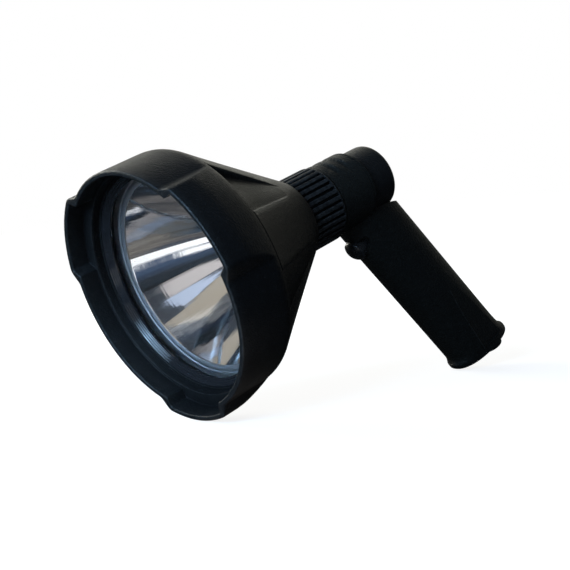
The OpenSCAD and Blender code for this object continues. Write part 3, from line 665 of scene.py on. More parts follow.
def metal(name, base, rough, relief):
    """Turned or drawn metal with streaks round and along the beam."""
    material, tree, shader = blank_material(name)
    lines = group(tree, "streaks", Around=90.0, Along=2400.0)
    marks = group(tree, "handling")
    tone = mixed(tree, lines["Along"], times(base, 0.84), [min(1.0, c) for c in times(base, 1.12)])
    smudged = math_node(tree, "MULTIPLY", marks["Smudge"], 0.25)
    link(tree, mixed(tree, smudged, tone, times(base, 0.7)), shader.inputs["Base Color"])
    shader.inputs["Metallic"].default_value = 1.0
    link(tree, remap(tree, lines["Cloud"], 0.3, 0.7, rough - 0.06, rough + 0.08), shader.inputs["Roughness"])
    bump(tree, shader, lines["Along"], relief, 0.00006)
    return material


def fin_metal(name, f):
    """Black coat over turned aluminium, thin along the crests."""
    material, tree, shader = blank_material(name)
    texture = group(tree, "grain", Pitch=f.grain_pitch * 0.6)
    lines = group(tree, "streaks", Around=120.0, Along=3000.0)
    wear_and_highlight = group(tree, "rub_and_highlight", Reach=0.35)["Mask"]
    tone = mixed(tree, texture["Speck"], times(f.fin, 0.8), times(f.fin, 1.25))
    link(tree, mixed(tree, wear_and_highlight, tone, (0.10, 0.10, 0.10)), shader.inputs["Base Color"])
    link(tree, remap(tree, texture["Patch"], 0.0, 1.0, 0.36, 0.46), shader.inputs["Roughness"])
    shader.inputs["Specular IOR Level"].default_value = 0.16
    bump(tree, shader, math_node(tree, "ADD", texture["Height"], lines["Along"]), 0.12)
    return material


def reflector_mirror(name, f):
    """Bright coat over a moulded bowl: faint ripples, a satin rim, and shading that leans to the mouth."""
    material, tree, shader = blank_material(name)
    lines = group(tree, "streaks", Around=16.0, Along=160.0)
    link(tree, mixed(tree, lines["Cloud"], f.mirror, times(f.mirror, 0.96)), shader.inputs["Base Color"])
    shader.inputs["Metallic"].default_value = 1.0
    ripples = math_node(tree, "ADD", lines["Around"], math_node(tree, "MULTIPLY", lines["Along"], 0.25))
    rays = bump(tree, shader, ripples, 0.10, 0.0006)
    along = measure(tree, "DOT_PRODUCT", object_place(tree), -OUT_OF_MOUTH)
    rim_at = MOUTH.dot(-OUT_OF_MOUTH) + settings()[2].flange_y + BOWL_SAG
    satin_rim = remap(tree, along, rim_at - 0.0001, rim_at + 0.0001, 0.5, 0.0)
    sheen = remap(tree, lines["Around"], 0.3, 0.7, 0.02, 0.075)
    link(tree, math_node(tree, "MAXIMUM", sheen, satin_rim), shader.inputs["Roughness"])
    bump(tree, shader, along, 1.0, f.mirror_lean, rays)
    return material


def clear_lens(name, f):
    """Clear polycarbonate with faint wipe marks."""
    material, tree, shader = blank_material(name)
    marks = group(tree, "handling", Spread=30.0)
    shader.inputs["Base Color"].default_value = (*f.lens, 1.0)
    shader.inputs["Transmission Weight"].default_value = 1.0
    shader.inputs["IOR"].default_value = 1.45
    link(tree, remap(tree, marks["Smudge"], 0.0, 1.0, 0.0, 0.02), shader.inputs["Roughness"])
    return material


# Moulded looks say their roughness, relief, gloss and grain size, metal ones their roughness and relief
FINISHES = {
    "shell_black": lambda n, f: moulded(n, f, f.shell, f.shell_rub_and_highlight, 0.45, f.grain_depth, 0.16),
    "grip_black": lambda n, f: moulded(n, f, f.grip, f.shell_rub_and_highlight, 0.50, f.grain_depth * 1.5, 0.15, 1.5),
    "trim_black": lambda n, f: moulded(n, f, f.trim, f.shell_rub_and_highlight, 0.13, 0.03, 0.5),
    "button_black": lambda n, f: moulded(n, f, f.button, f.shell_rub_and_highlight, 0.34, 0.10, 0.4),
    "seal_rubber": lambda n, f: moulded(n, f, f.rubber, (0.05, 0.05, 0.05), 0.58, 0.16, 0.3, 0.8),
    "component_black": lambda n, f: moulded(n, f, f.component, (0.06, 0.06, 0.06), 0.42, 0.12, 0.4),
    "board_green": lambda n, f: moulded(n, f, f.board, (0.10, 0.16, 0.10), 0.30, 0.06, 0.5),
    "emitter": lambda n, f: moulded(n, f, f.phosphor, f.phosphor, 0.40, 0.05, 0.5, 0.5),
    "cell_wrap": lambda n, f: moulded(n, f, f.wrap, (0.2, 0.25, 0.35), 0.32, 0.03, 0.5),
    "wire_red": lambda n, f: moulded(n, f, f.wire, (0.4, 0.1, 0.1), 0.45, 0.04, 0.5),
    "steel": lambda n, f: metal(n, f.steel, 0.30, 0.10),
    "brass": lambda n, f: metal(n, f.brass, 0.28, 0.10),
    "star_board": lambda n, f: metal(n, f.star, 0.34, 0.08),
    "fin_metal": fin_metal,
    "reflector_mirror": reflector_mirror,
    "clear_lens": clear_lens,
}


# Geometry Nodes helpers

def geometry_tree(name, **inputs):
    """Geometry node tree with a mesh in and out, number inputs by name and default, and a material."""
    tree = bpy.data.node_groups.new(name, "GeometryNodeTree")
    tree.interface.new_socket("Geometry", in_out="INPUT", socket_type="NodeSocketGeometry")
    for label, default in inputs.items():
        kind = "NodeSocketInt" if isinstance(default, int) else "NodeSocketFloat"
        made = tree.interface.new_socket(label.replace("_", " "), in_out="INPUT", socket_type=kind)
        made.default_value = default
    tree.interface.new_socket("Finish", in_out="INPUT", socket_type="NodeSocketMaterial")
    tree.interface.new_socket("Geometry", in_out="OUTPUT", socket_type="NodeSocketGeometry")
    return tree, node(tree, "NodeGroupInput").outputs, node(tree, "NodeGroupOutput").inputs


def close_tree(tree, given, out, geometry):
    """Ends a tree in real geometry with its finish."""
    real = fed(tree, "GeometryNodeRealizeInstances", Geometry=geometry)
    link(tree, fed(tree, "GeometryNodeSetMaterial", Geometry=real, Material=given["Finish"]), out["Geometry"])
    return tree


def grown(name, tree, base, values, material, matrix):
    """Plain mesh from a tree run on a base mesh with its inputs set."""
    holder = bpy.data.objects.new(name + "_base", base)
    bpy.context.scene.collection.objects.link(holder)
    modifier = holder.modifiers.new("tree", "NODES")
    modifier.node_group = tree
    for item in tree.interface.items_tree:
        if item.item_type == "SOCKET" and item.in_out == "INPUT":
            if item.name in values:
                modifier[item.identifier] = values[item.name]
            elif item.name == "Finish":
                modifier[item.identifier] = material
    graph = bpy.context.evaluated_depsgraph_get()
    graph.update()
    mesh = bpy.data.meshes.new_from_object(holder.evaluated_get(graph))
    holder.modifiers.clear()
    bpy.data.objects.remove(holder)
    mesh.name = name
    mesh.transform(matrix)
    return shade(mesh)


def tube(tree, path, radius, caps=False):
    """Round tube along curves."""
    wire = fed(tree, "GeometryNodeCurvePrimitiveCircle", Resolution=8, Radius=radius)
    return fed(tree, "GeometryNodeCurveToMesh", Curve=path, Profile_Curve=wire, Fill_Caps=caps)


def ridge_tree():
    """Fine rings, one behind another."""
    tree, given, out = geometry_tree("seat_ridges", Radius=0.066, Wire=0.0003, Count=4, Pitch=0.001)
    ring = fed(tree, "GeometryNodeCurvePrimitiveCircle", Resolution=192, Radius=given["Radius"])
    step = fed(tree, "ShaderNodeCombineXYZ", Z=given["Pitch"])
    row = fed(tree, "GeometryNodeMeshLine", Count=given["Count"], Offset=step)
    rings = fed(tree, "GeometryNodeInstanceOnPoints", Points=row, Instance=tube(tree, ring, given["Wire"]))
    return close_tree(tree, given, out, rings)


def around_tree():
    """Copies of the base mesh turned evenly round local Z."""
    tree, given, out = geometry_tree("turned_copies", Count=34)
    spots = fed(tree, "GeometryNodePoints", Count=given["Count"])
    step = math_node(tree, "DIVIDE", FULL_TURN, given["Count"])
    angle = math_node(tree, "MULTIPLY", node(tree, "GeometryNodeInputIndex").outputs["Index"], step)
    copies = fed(tree, "GeometryNodeInstanceOnPoints", Points=spots, Instance=given["Geometry"],
                 Rotation=fed(tree, "ShaderNodeCombineXYZ", Z=angle))
    return close_tree(tree, given, out, copies)


def screw_tree():
    """Cross-head screws at the base mesh's points, each along the point's own aim."""
    tree, given, out = geometry_tree("cross_head_screws", Head_Radius=0.003, Head_Height=0.002,
                                     Shank_Radius=0.0015, Shank_Length=0.01, Recess=0.0006)
    tall, wide = given["Head Height"], given["Head Radius"]

    def upright(kind, z, **sizes):
        return fed(tree, "GeometryNodeTransform", Geometry=fed(tree, kind, **sizes),
                   Translation=fed(tree, "ShaderNodeCombineXYZ", Z=z))

    head = upright("GeometryNodeMeshCone", 0.0, Vertices=36, Depth=tall, Radius_Bottom=wide,
                   Radius_Top=math_node(tree, "MULTIPLY", wide, 0.8))
    shank = upright("GeometryNodeMeshCylinder", math_node(tree, "MULTIPLY", given["Shank Length"], -0.5),
                    Vertices=24, Radius=given["Shank Radius"], Depth=given["Shank Length"])
    bar = math_node(tree, "MULTIPLY", wide, 1.15)
    cut = node(tree, "GeometryNodeMeshBoolean", operation="DIFFERENCE")
    link(tree, head, cut.inputs["Mesh 1"])
    for x, y in ((bar, given["Recess"]), (given["Recess"], bar)):
        size = fed(tree, "ShaderNodeCombineXYZ", X=x, Y=y, Z=tall)
        link(tree, upright("GeometryNodeMeshCube", tall, Size=size), cut.inputs["Mesh 2"])
    whole = node(tree, "GeometryNodeJoinGeometry")
    link(tree, cut.outputs["Mesh"], whole.inputs["Geometry"])
    link(tree, shank, whole.inputs["Geometry"])
    aim = node(tree, "GeometryNodeInputNamedAttribute", data_type="FLOAT_VECTOR")
    aim.inputs["Name"].default_value = "aim"
    facing = node(tree, "FunctionNodeAlignRotationToVector", axis="Z")
    link(tree, aim.outputs["Attribute"], facing.inputs["Vector"])
    screws = fed(tree, "GeometryNodeInstanceOnPoints", Points=given["Geometry"],
                 Instance=whole.outputs["Geometry"], Rotation=facing.outputs["Rotation"])
    return close_tree(tree, given, out, screws)


def bead_tree():
    """Round bead along the base mesh's edges, thinning out towards the end of each run."""
    tree, given, out = geometry_tree("crease_beads", Radius=0.0003)
    path = fed(tree, "GeometryNodeMeshToCurve", Mesh=given["Geometry"])
    along = node(tree, "GeometryNodeSplineParameter").outputs["Factor"]
    thinned = fed(tree, "GeometryNodeSetCurveRadius", Curve=path,
                  Radius=remap(tree, along, 0.45, 1.0, 1.0, 0.15))
    return close_tree(tree, given, out, tube(tree, thinned, given["Radius"], caps=True))


def points_mesh(name, places):
    """Loose points, each with the way that its screw's head faces."""
    mesh = bpy.data.meshes.new(name)
    mesh.from_pydata([tuple(p) for p, aim in places], [], [])
    facing = mesh.attributes.new("aim", "FLOAT_VECTOR", "POINT")
    for item, (p, aim) in zip(facing.data, places):
        item.vector = aim
    return mesh


class DressShroud(bpy.types.Operator):
    """Lobed shroud with a rounded lip, its filter seat's ridges, trim ring and gasket"""
    bl_idname = "lamp.dress_shroud"
    bl_label = "Shroud"

    def execute(self, context):
        h, _, d = settings()
        add_piece("shroud", self.shroud(h, d), "lamp", "shell_black", "bezel")
        add_piece("ring_trim", self.ring(h, d), "lamp", "trim_black", "trim_ring")
        pitch = h.seat_len / (h.ridges + 1)
        ridges = grown("seat_ridges", ridge_tree(), bpy.data.meshes.new("ridge_base"),
                       {"Radius": d.seat_r, "Wire": h.ridge_r, "Count": h.ridges, "Pitch": pitch},
                       finish("shell_black"), along_beam(h.lobe_hollow + pitch))
        add_piece("seat_ridges", ridges, "lamp", "shell_black")
        coat("seal_rubber", "lens_gasket", "cap_seal")
        return {"FINISHED"}

    @staticmethod
    def lobe(angle, half, ramp):
        """Share of a lobe's height at a ring angle, 0 to 1."""
        third = FULL_TURN / 3
        off = abs((angle - math.pi / 2 + third / 2) % third - third / 2)
        t = (half + ramp / 2 - off) / ramp
        return (1 - math.cos(math.pi * min(1.0, max(0.0, t)))) / 2

    def shroud(self, h, d):
        """Profiles round the beam, close together on the lobes' slopes, joined into rings."""
        blend, fine_step, wide_step = 0.0012, math.radians(0.3), math.radians(1.0)
        crown_end, shoulder = 0.42 * h.shroud_len, 0.86 * h.shroud_len
        inner_half, inner_ramp = h.lobe_span / 2 - math.radians(2.5), math.radians(3.4)
        steps = 16
        fade = [(bend(h.rim_r, d.low_r + 0.3 * h.lobe_h, d.rear_edge_r, k / steps),
                 bend(crown_end, shoulder, h.shroud_len, k / steps)) for k in range(steps + 1)]
        angles = []
        angle = 0.0
        while angle < FULL_TURN - 1e-6:
            angles.append(angle)
            slope = self.lobe(angle, h.lobe_span / 2, h.lobe_ramp * 1.6)
            angle += fine_step if 0.0 < slope < 1.0 else wide_step
        lip = h.lip_round
        profiles = []
        for angle in angles:
            out_r = d.low_r + h.lobe_h * self.lobe(angle, h.lobe_span / 2, h.lobe_ramp)
            hollow = self.lobe(angle, inner_half, inner_ramp)
            in_r = d.mouth_in_r + (h.rim_r - h.shroud_wall - d.mouth_in_r) * hollow
            corners = [
                (d.skirt_r, h.shroud_len, 0.0003, 0), (d.skirt_r, d.gasket_y, 0, 0),
                (d.shelf_r, d.gasket_y, 0, 0), (d.shelf_r, d.shelf_y, 0.0003, 0.3),
                (d.ring_r, d.shelf_y, 0, 0), (d.ring_r, d.seat_y, 0.0004, 0.5),
                (d.seat_r, d.seat_y, 0.0003, 0), (d.seat_r, h.lobe_hollow, 0.0005, 0.6),
                (in_r, h.lobe_hollow, 0.0006, 0), (in_r, 0.0, lip, 1.0), (out_r, 0.0, lip, 1.0)]
            wall = [(out_r, 0.35 * crown_end, 0.0), (out_r, 0.7 * crown_end, 0.0)]
            wall += [(soft_min(out_r, r, blend), y, 0.0) for r, y in fade]
            profiles.append(rounded(corners, closed=False)[:-1] + self.lip(out_r, lip) + wall)
        rings = [[(r * math.cos(a), r * math.sin(a), y, rub_and_highlight)
                  for a, (r, y, rub_and_highlight) in zip(angles, (profile[k] for profile in profiles))]
                 for k in range(len(profiles[0]))]
        return skin("shroud", rings, along_beam(), closed=True, sharp=40)

    @staticmethod
    def lip(out_r, size, steps=5):
        """Rounding from the front face to the outer wall."""
        return [(bend(out_r - size, out_r, out_r, k / steps), bend(0.0, 0.0, size, k / steps),
                 math.sin(math.pi * (k + 1) / (steps + 2))) for k in range(steps + 1)]

    @staticmethod
    def ring(h, d):
        """Trim ring with a stepped face."""
        set_back, rear_wall, bevel = 0.0004, 0.0016, 0.0006
        out_r, front = d.ring_r - SLIP, d.seat_y + set_back
        tread, riser = h.ring_face / h.ring_treads, (h.ring_len - rear_wall) / h.ring_treads
        corners = [(out_r, front, 0.0002, 0.4), (out_r, d.shelf_y, 0, 0), (d.aperture_r + bevel, d.shelf_y, 0, 0),
                   (d.aperture_r, d.shelf_y - bevel, 0, 0)]
        for i in reversed(range(h.ring_treads)):
            corners.append((out_r - (i + 1) * tread, front + (i + 0.7) * riser, 0.0002, 0.4))
            corners.append((out_r - (i + 0.7) * tread, front + i * riser, 0.0002, 0.4))
        return turned("ring_trim", rounded(corners, 3), along_beam(), 224)


class DressOptics(bpy.types.Operator):
    """Mirror bowl, clear lens, star board and emitter"""
    bl_idname = "lamp.dress_optics"
    bl_label = "Optics"

    def execute(self, context):
        h, _, d = settings()
        steps, bead_steps, sag, hair, bevel, bead_lap = 90, 12, BOWL_SAG, 0.00002, 0.0006, 0.0003
        bead_in = math.sqrt(d.four_f * (d.apex_y - d.flange_y - sag))
        bead_out = d.aperture_r + bead_lap
        bowl = [(bead_out, d.flange_y + sag, 0.0)]
        for k in range(1, bead_steps):
            across = 1 - 2 * k / bead_steps
            bowl.append(((bead_in + bead_out) / 2 + across * (bead_out - bead_in) / 2,
                         d.flange_y + sag * across * across + 2 * hair, 0.0))
        for k in range(steps + 1):
            y = d.flange_y + sag + (h.reflector_len - sag) * k / steps
            bowl.append((math.sqrt(d.four_f * (d.apex_y - y)), y, 0.0))
        back = [(r + h.reflector_wall, y, 0.0) for r, y, rub_and_highlight in bowl[:bead_steps:-6] if y > d.bell_y]
        flange = [(math.sqrt(d.four_f * (d.apex_y - d.bell_y)) + h.reflector_wall, d.bell_y, 0.0),
                  (d.lens_r, d.bell_y, 0.0), (d.lens_r, d.flange_y, 0.0), (bead_out + 0.0001, d.flange_y, 0.0)]
        bowl_mesh = turned("mirror_bowl", bowl + back + flange, along_beam(), 224)
        add_piece("mirror_bowl", bowl_mesh, "lamp", "reflector_mirror", "reflector")
        disc = [(0.0, d.lens_y, 0.0), (d.lens_r - bevel, d.lens_y, 0.0), (d.lens_r, d.lens_y + bevel, 0.0),
                (d.lens_r, d.flange_y - hair, 0.0), (0.0, d.flange_y - hair, 0.0)]
        lens_mesh = turned("lens_disc", disc, along_beam(), 224, closed=False)
        add_piece("lens_disc", lens_mesh, "lamp", "clear_lens", "lens")
        coat("star_board", "led_board")
        coat("emitter", "led_emitter")
        coat("wire_red", "led_leads")
        return {"FINISHED"}


class DressBell(bpy.types.Operator):
    """Fluted bell between the shroud and the barrel"""
    bl_idname = "lamp.dress_bell"
    bl_label = "Bell"

    SWELL_Y = 0.3
    SWELL_R = 0.69

    def execute(self, context):
        h, _, d = settings()
        add_piece("fluted_bell", self.bell(h, d), "lamp", "shell_black", "bell")
        return {"FINISHED"}

    def swell(self, y0, r0, y1, r1, t):
        return (bend(r0, r1 + self.SWELL_R * (r0 - r1), r1, t),
                bend(y0, y0 + self.SWELL_Y * (y1 - y0), y1, t))

    def swell_r_at(self, y0, r0, y1, r1, y):
        t = bend_at(y0, y0 + self.SWELL_Y * (y1 - y0), y1, min(max(y, y0), y1))
        return bend(r0, r1 + self.SWELL_R * (r0 - r1), r1, t)

    def bell(self, h, d):
        seam, inset, neck_len, neck_step = 0.0003, 0.0002, 0.010, 0.0062
        early, rise, late, lead, tip_r = 0.003, 0.0015, 0.002, 0.001, 0.003
        lip_depth, lip_len, play, thread_len, edge = 0.0007, 0.0008, 0.0015, 0.009, 0.0006
        rows, inner_rows = 110, 20
        front_y, front_r = h.shroud_len + seam, d.rear_edge_r - inset
        end_y, end_r = d.neck_y - neck_len, h.bell_neck_r + neck_step
        floor = (front_y - early, front_r - h.flute_depth + rise, end_y + late, end_r)
        profile = [self.swell(front_y, front_r, d.neck_y, h.bell_neck_r, k / rows) for k in range(rows + 1)]
        rings = []
        for r, y in profile:
            deep = max(0.0, r - self.swell_r_at(*floor, y)) if y < end_y + late else 0.0
            along = (y - front_y + lead) / (end_y - tip_r - front_y + lead)
            half = h.flute_w / 2 + (tip_r - h.flute_w / 2) * min(1.0, max(0.0, along))
            lip_in = lip_depth * max(0.0, 1 - (y - front_y) / lip_len)
            rings.append(self.fluted_ring(h, r - lip_in, y, deep, half))
        spigot_in, inner_end_r = d.mouth_r + h.reflector_wall + play, end_r - h.bell_wall
        thread_in, thread_y = d.thread_r + SLIP, d.neck_y - thread_len
        inner = [(h.bell_neck_r - edge, d.neck_y), (thread_in, d.neck_y), (thread_in, thread_y),
                 (inner_end_r, thread_y)]
        inner += [self.swell(d.bell_y, spigot_in, end_y, inner_end_r, k / inner_rows)
                  for k in range(inner_rows, -1, -1)]
        inner += [(d.skirt_r - SLIP, d.bell_y), (d.skirt_r - SLIP, front_y)]
        rings += [self.fluted_ring(h, r, y, 0.0, h.flute_w / 2) for r, y in inner]
        return skin("fluted_bell", rings, along_beam(), closed=True, sharp=50)

    @staticmethod
    def fluted_ring(h, r, y, deep, half):
        """One ring, its points crowded into the flutes' walls so that every edge runs clean."""
        sector = FULL_TURN / h.flutes
        floor_steps, wall_steps, land_steps = 12, 7, 6
        wall = (h.flute_round + 0.25 * deep) / r
        edge = math.asin(min(0.9, half / r))
        inner = max(edge - wall * 0.5, 0.0004 / r)
        outer = inner + wall
        half_ring = [(inner * k / floor_steps, 1.0, 0.0) for k in range(floor_steps)]
        for k in range(wall_steps + 1):
            t = k / wall_steps
            wear_and_highlight = 0.8 * smooth(t) if deep > 0.0006 and k < wall_steps else 0.0
            half_ring.append((inner + (outer - inner) * t, 1.0 - smooth(t), wear_and_highlight))
        half_ring += [(outer + (sector / 2 - outer) * k / land_steps, 0.0, 0.0)
                      for k in range(1, land_steps + 1)]
        ring = []
        for i in range(h.flutes):
            centre = h.flute_turn - math.pi / 2 + i * sector
            side = [(-a, share, rub_and_highlight) for a, share, rub_and_highlight in half_ring[:0:-1]] + half_ring[:-1]
            for a, share, rub_and_highlight in side:
                rr = r - deep * share
                ring.append((rr * math.cos(centre + a), rr * math.sin(centre + a), y, rub_and_highlight))
        return ring


class DressBarrel(bpy.types.Operator):
    """Finned barrel, and the driver and dimmer behind it"""
    bl_idname = "lamp.dress_barrel"
    bl_label = "Barrel"

    def execute(self, context):
        _, b, d = settings()
        core_r, wire_r, post_r = b.barrel_r - b.fin_depth, 0.0034, b.star_r + 0.002
        thread_y, core_y = d.neck_y - 0.010, d.neck_y - 0.0005
        ridge_y, bevel_y, bevel_r = d.barrel_end - 0.002, d.barrel_end - 0.0016, b.barrel_r - 0.0012
        outline = [(wire_r, d.post_y, 0, 0), (post_r, d.post_y, 0.0004, 0.5), (post_r, thread_y, 0, 0),
                   (d.thread_r, thread_y, 0.0003, 0), (d.thread_r, core_y, 0, 0), (core_r, core_y, 0, 0),
                   (core_r, ridge_y, 0.0003, 0), (b.barrel_r, ridge_y, 0.0003, 0.5),
                   (b.barrel_r, bevel_y, 0.0004, 0.5), (bevel_r, d.barrel_end, 0.0002, 0.5),
                   (d.tail_r, d.barrel_end, 0, 0), (d.tail_r, d.driver_y, 0, 0), (wire_r, d.driver_y, 0, 0)]
        core = turned("barrel_core", rounded(outline, 3), along_beam(), 204)
        fins = grown("fins", around_tree(), self.fin(b, d, core_r), {"Count": b.fins}, finish("fin_metal"),
                     along_beam())
        add_piece("finned_barrel", joined("finned_barrel", core, fins), "lamp", "fin_metal", "heat_sink")
        coat("board_green", "driver_board")
        coat("component_black", "driver_parts", "dimmer_body")
        coat("brass", "dimmer_nut")
        coat("steel", "dimmer_shaft")
        return {"FINISHED"}

    @staticmethod
    def fin(b, d, core_r):
        """One fin with a rounded crest, from just inside the core to the barrel's full radius."""
        half = math.pi * b.barrel_r / b.fins - b.fin_gap / 2
        foot = core_r - 0.0004
        outline = rounded([(foot, -half, 0, 0), (b.barrel_r, -half, b.fin_round, 1),
                           (b.barrel_r, half, b.fin_round, 1), (foot, half, 0, 0)], 3)
        tuck = 0.0003
        rows = ((d.neck_y, tuck), (d.neck_y + tuck, 0.0), (d.barrel_end - 0.0022, 0.0),
                (d.barrel_end - 0.0019, 0.0))
        bm = bmesh.new()
        ends = grid(bm, [[(r - inset if r > foot else r, side * (1 - inset * 200), y, wear_and_highlight)
                          for r, side, wear_and_highlight in outline] for y, inset in rows])
        bm.faces.new(ends[0][::-1])
        bm.faces.new(ends[-1])
        bmesh.ops.recalc_face_normals(bm, faces=bm.faces)
        return mesh_from(bm, "fin")


class DressCap(bpy.types.Operator):
    """Rear dimmer cap with a rounded end"""
    bl_idname = "lamp.dress_cap"
    bl_label = "Dimmer cap"

    def execute(self, context):
        _, b, d = settings()
        skirt, seal_slip, wall, hub_r, shaft_r, socket = 0.0036, 0.00008, 0.0035, 0.006, 0.00302, 0.002
        seat, panel_t, nut_t, bush, hub_gap = 0.005, 0.003, 0.0024, 0.0015, 0.0005
        end, bore = d.cap_y + b.cap_len, b.cap_r - skirt + seal_slip
        hub_y = d.collar_end - seat + panel_t + nut_t + bush + hub_gap
        floor_y, socket_y = end - wall, end - wall - socket
        outline = [(0.0, end, 0, 0), (b.cap_r, end, b.cap_round, 0.6), (b.cap_r, d.cap_y, 0.0006, 0.9),
                   (bore, d.cap_y, 0.0003, 0), (bore, floor_y, 0.001, 0), (hub_r, floor_y, 0.0006, 0),
                   (hub_r, hub_y, 0.0003, 0), (shaft_r, hub_y, 0, 0), (shaft_r, socket_y, 0, 0),
                   (0.0, socket_y, 0, 0)]
        mesh = turned("cap_rear", rounded(outline, 8, closed=False), along_beam(), 160, closed=False)
        add_piece("cap_rear", mesh, "dimmer", "shell_black", "rear_cap")
        return {"FINISHED"}


class DressGrip(bpy.types.Operator):
    """Both halves of the pistol grip, with a bead along the front edge of the flat on each side, coloured lighter
    as a painted highlight
    """
    bl_idname = "lamp.dress_grip"
    bl_label = "Grip"

    FLAT_INSET = 0.66
    FLAT_SHIFT = 0.002
    FLAT_STOP = 0.0046
    FLAT_LEAST = 0.0001
    FOOT_REACH = 0.013
    CREASE_STEP = 0.0012

    def execute(self, context):
        _, b, d = settings()
        slope = math.atan2(b.flat_depth, b.flat_len)
        for side, hand in (("left", 1), ("right", -1)):
            name = f"grip_half_{side}"
            facing = Vector((hand * math.cos(slope) * math.cos(b.flat_lean),
                             -math.cos(slope) * math.sin(b.flat_lean), math.sin(slope)))
            mesh = smooth_copy(name, f"grip_{side}", along_grip(b, d).to_3x3() @ facing)
            add_piece(name, mesh, "lamp", "shell_black", f"grip_{side}", look="grip_black")
        run = self.crease(b)
        base = bpy.data.meshes.new("crease_base")
        base.from_pydata([(hand * x, y, z) for hand in (1, -1) for x, y, z in run],
                         [(k + i, k + i + 1) for k in (0, len(run)) for i in range(len(run) - 1)], [])
        beads = grown("grip_creases", bead_tree(), base, {"Radius": b.crease_r}, finish("grip_black"),
                      along_grip(b, d, b.grip_len))
        # Lighter colour all along the beads: a painted highlight along the crease
        beads.attributes.new("rub_and_highlight", "FLOAT", "POINT").data.foreach_set("value", [0.9] * len(beads.vertices))
        add_piece("grip_creases", beads, "lamp", "shell_black", look="grip_black")
        return {"FINISHED"}

    def crease(self, b):
        """Front edge of the left flat, from the foot up to where the flat runs out."""
        def beyond(y, up):
            oval = b.grip_b * (1 - min(1.0, abs(y / b.grip_a)) ** b.grip_fullness) ** (1 / b.grip_fullness)
            plane = (b.grip_b - self.FLAT_INSET * b.flat_depth + math.tan(b.flat_lean) * (y - self.FLAT_SHIFT)
                     + b.flat_depth / b.flat_len * up / math.cos(b.flat_lean))
            return oval - plane, plane

        run = []
        for k in range(60):
            up = self.FLAT_STOP + self.CREASE_STEP * k
            front = 0.95 * b.grip_a
            back = max((-0.001 * j for j in range(-8, 16)), key=lambda y: beyond(y, up)[0])
            if beyond(back, up)[0] <= self.FLAT_LEAST:
                break
            for step in range(40):
                middle = (front + back) / 2
                front, back = (middle, back) if beyond(middle, up)[0] < 0 else (front, middle)
            turned_in = max(0.0, 1 - up / self.FOOT_REACH) * math.tan(b.foot_turn) * front
            run.append((beyond(front, up)[1], front, -up - turned_in))
        return run


class DressTrigger(bpy.types.Operator):
    """Domed trigger button, its return spring and the switch behind it"""
    bl_idname = "lamp.dress_trigger"
    bl_label = "Trigger"

    def execute(self, context):
        _, b, d = settings()
        press = at_trigger(b, d)
        crown, seat_depth, flange_t, flange_w, stem_r = 0.0034, 0.005, 0.002, 0.0013, 0.0025
        switch_top, travel, stem_gap, gap = 0.008, 0.003, 0.0005, 0.0001
        top, seat = b.grip_a + b.button_proud, b.grip_a - seat_depth
        flange_r, stem_end = b.button_r + flange_w, switch_top + travel + stem_gap
        cover = dome(b.button_r, crown, top)
        edge = rounded([(*cover[-1][:2], 0, 0), (b.button_r, top - crown, 0.0006, 1.0),
                        (b.button_r, seat, 0, 0)], 4, closed=False)[1:]
        base = [(flange_r, seat, 0.0), (flange_r, seat - flange_t, 0.0), (stem_r, seat - flange_t, 0.0),
                (stem_r, stem_end, 0.0), (0.0, stem_end, 0.0)]
        mesh = turned("button_trigger", cover + edge + base, press, 96, closed=False)
        add_piece("button_trigger", mesh, "trigger", "button_black", "trigger_button")
        spring = add_piece("return_spring", smooth_copy("return_spring", "trigger_spring"), "lamp", "steel",
                           "trigger_spring")
        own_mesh(spring)
        coat("steel", "switch_plunger", "switch_bracket")
        coat("component_black", "trigger_switch")
        return {"FINISHED"}


class DressFoot(bpy.types.Operator):
    """Foot plate, charging socket and its domed rubber plug"""
    bl_idname = "lamp.dress_foot"
    bl_label = "Foot"

    def execute(self, context):
        _, b, d = settings()
        gap, flange_r, flange_t, socket_back = 0.0003, 0.007, 0.0012, 0.0095
        pin_r, pin_len = 0.0031 - 0.00008, 0.006
        top = gap + b.plug_h
        cover = dome(b.plug_r, b.plug_crown, top)
        rim = rounded([(*cover[-1][:2], 0, 0), (b.plug_r, top - b.plug_crown, 0.0008, 0.8),
                       (b.plug_r, gap, 0.0005, 0.6), (flange_r + gap, gap, 0.0002, 0),
                       (flange_r + gap, flange_t + gap, 0, 0), (pin_r, flange_t + gap, 0, 0),
                       (pin_r, -pin_len, 0.0004, 0), (0.0, -pin_len, 0, 0)], 4, closed=False)[1:]
        place = at_foot(b, d) @ Matrix.Translation((0, -socket_back, 0))
        mesh = turned("plug_charge", cover + rim, place, 96, closed=False)
        add_piece("plug_charge", mesh, "plug", "seal_rubber", "charge_plug")
        coat("grip_black", "foot_plate")
        coat("component_black", "charge_socket")
        coat("brass", "socket_nut")
        return {"FINISHED"}


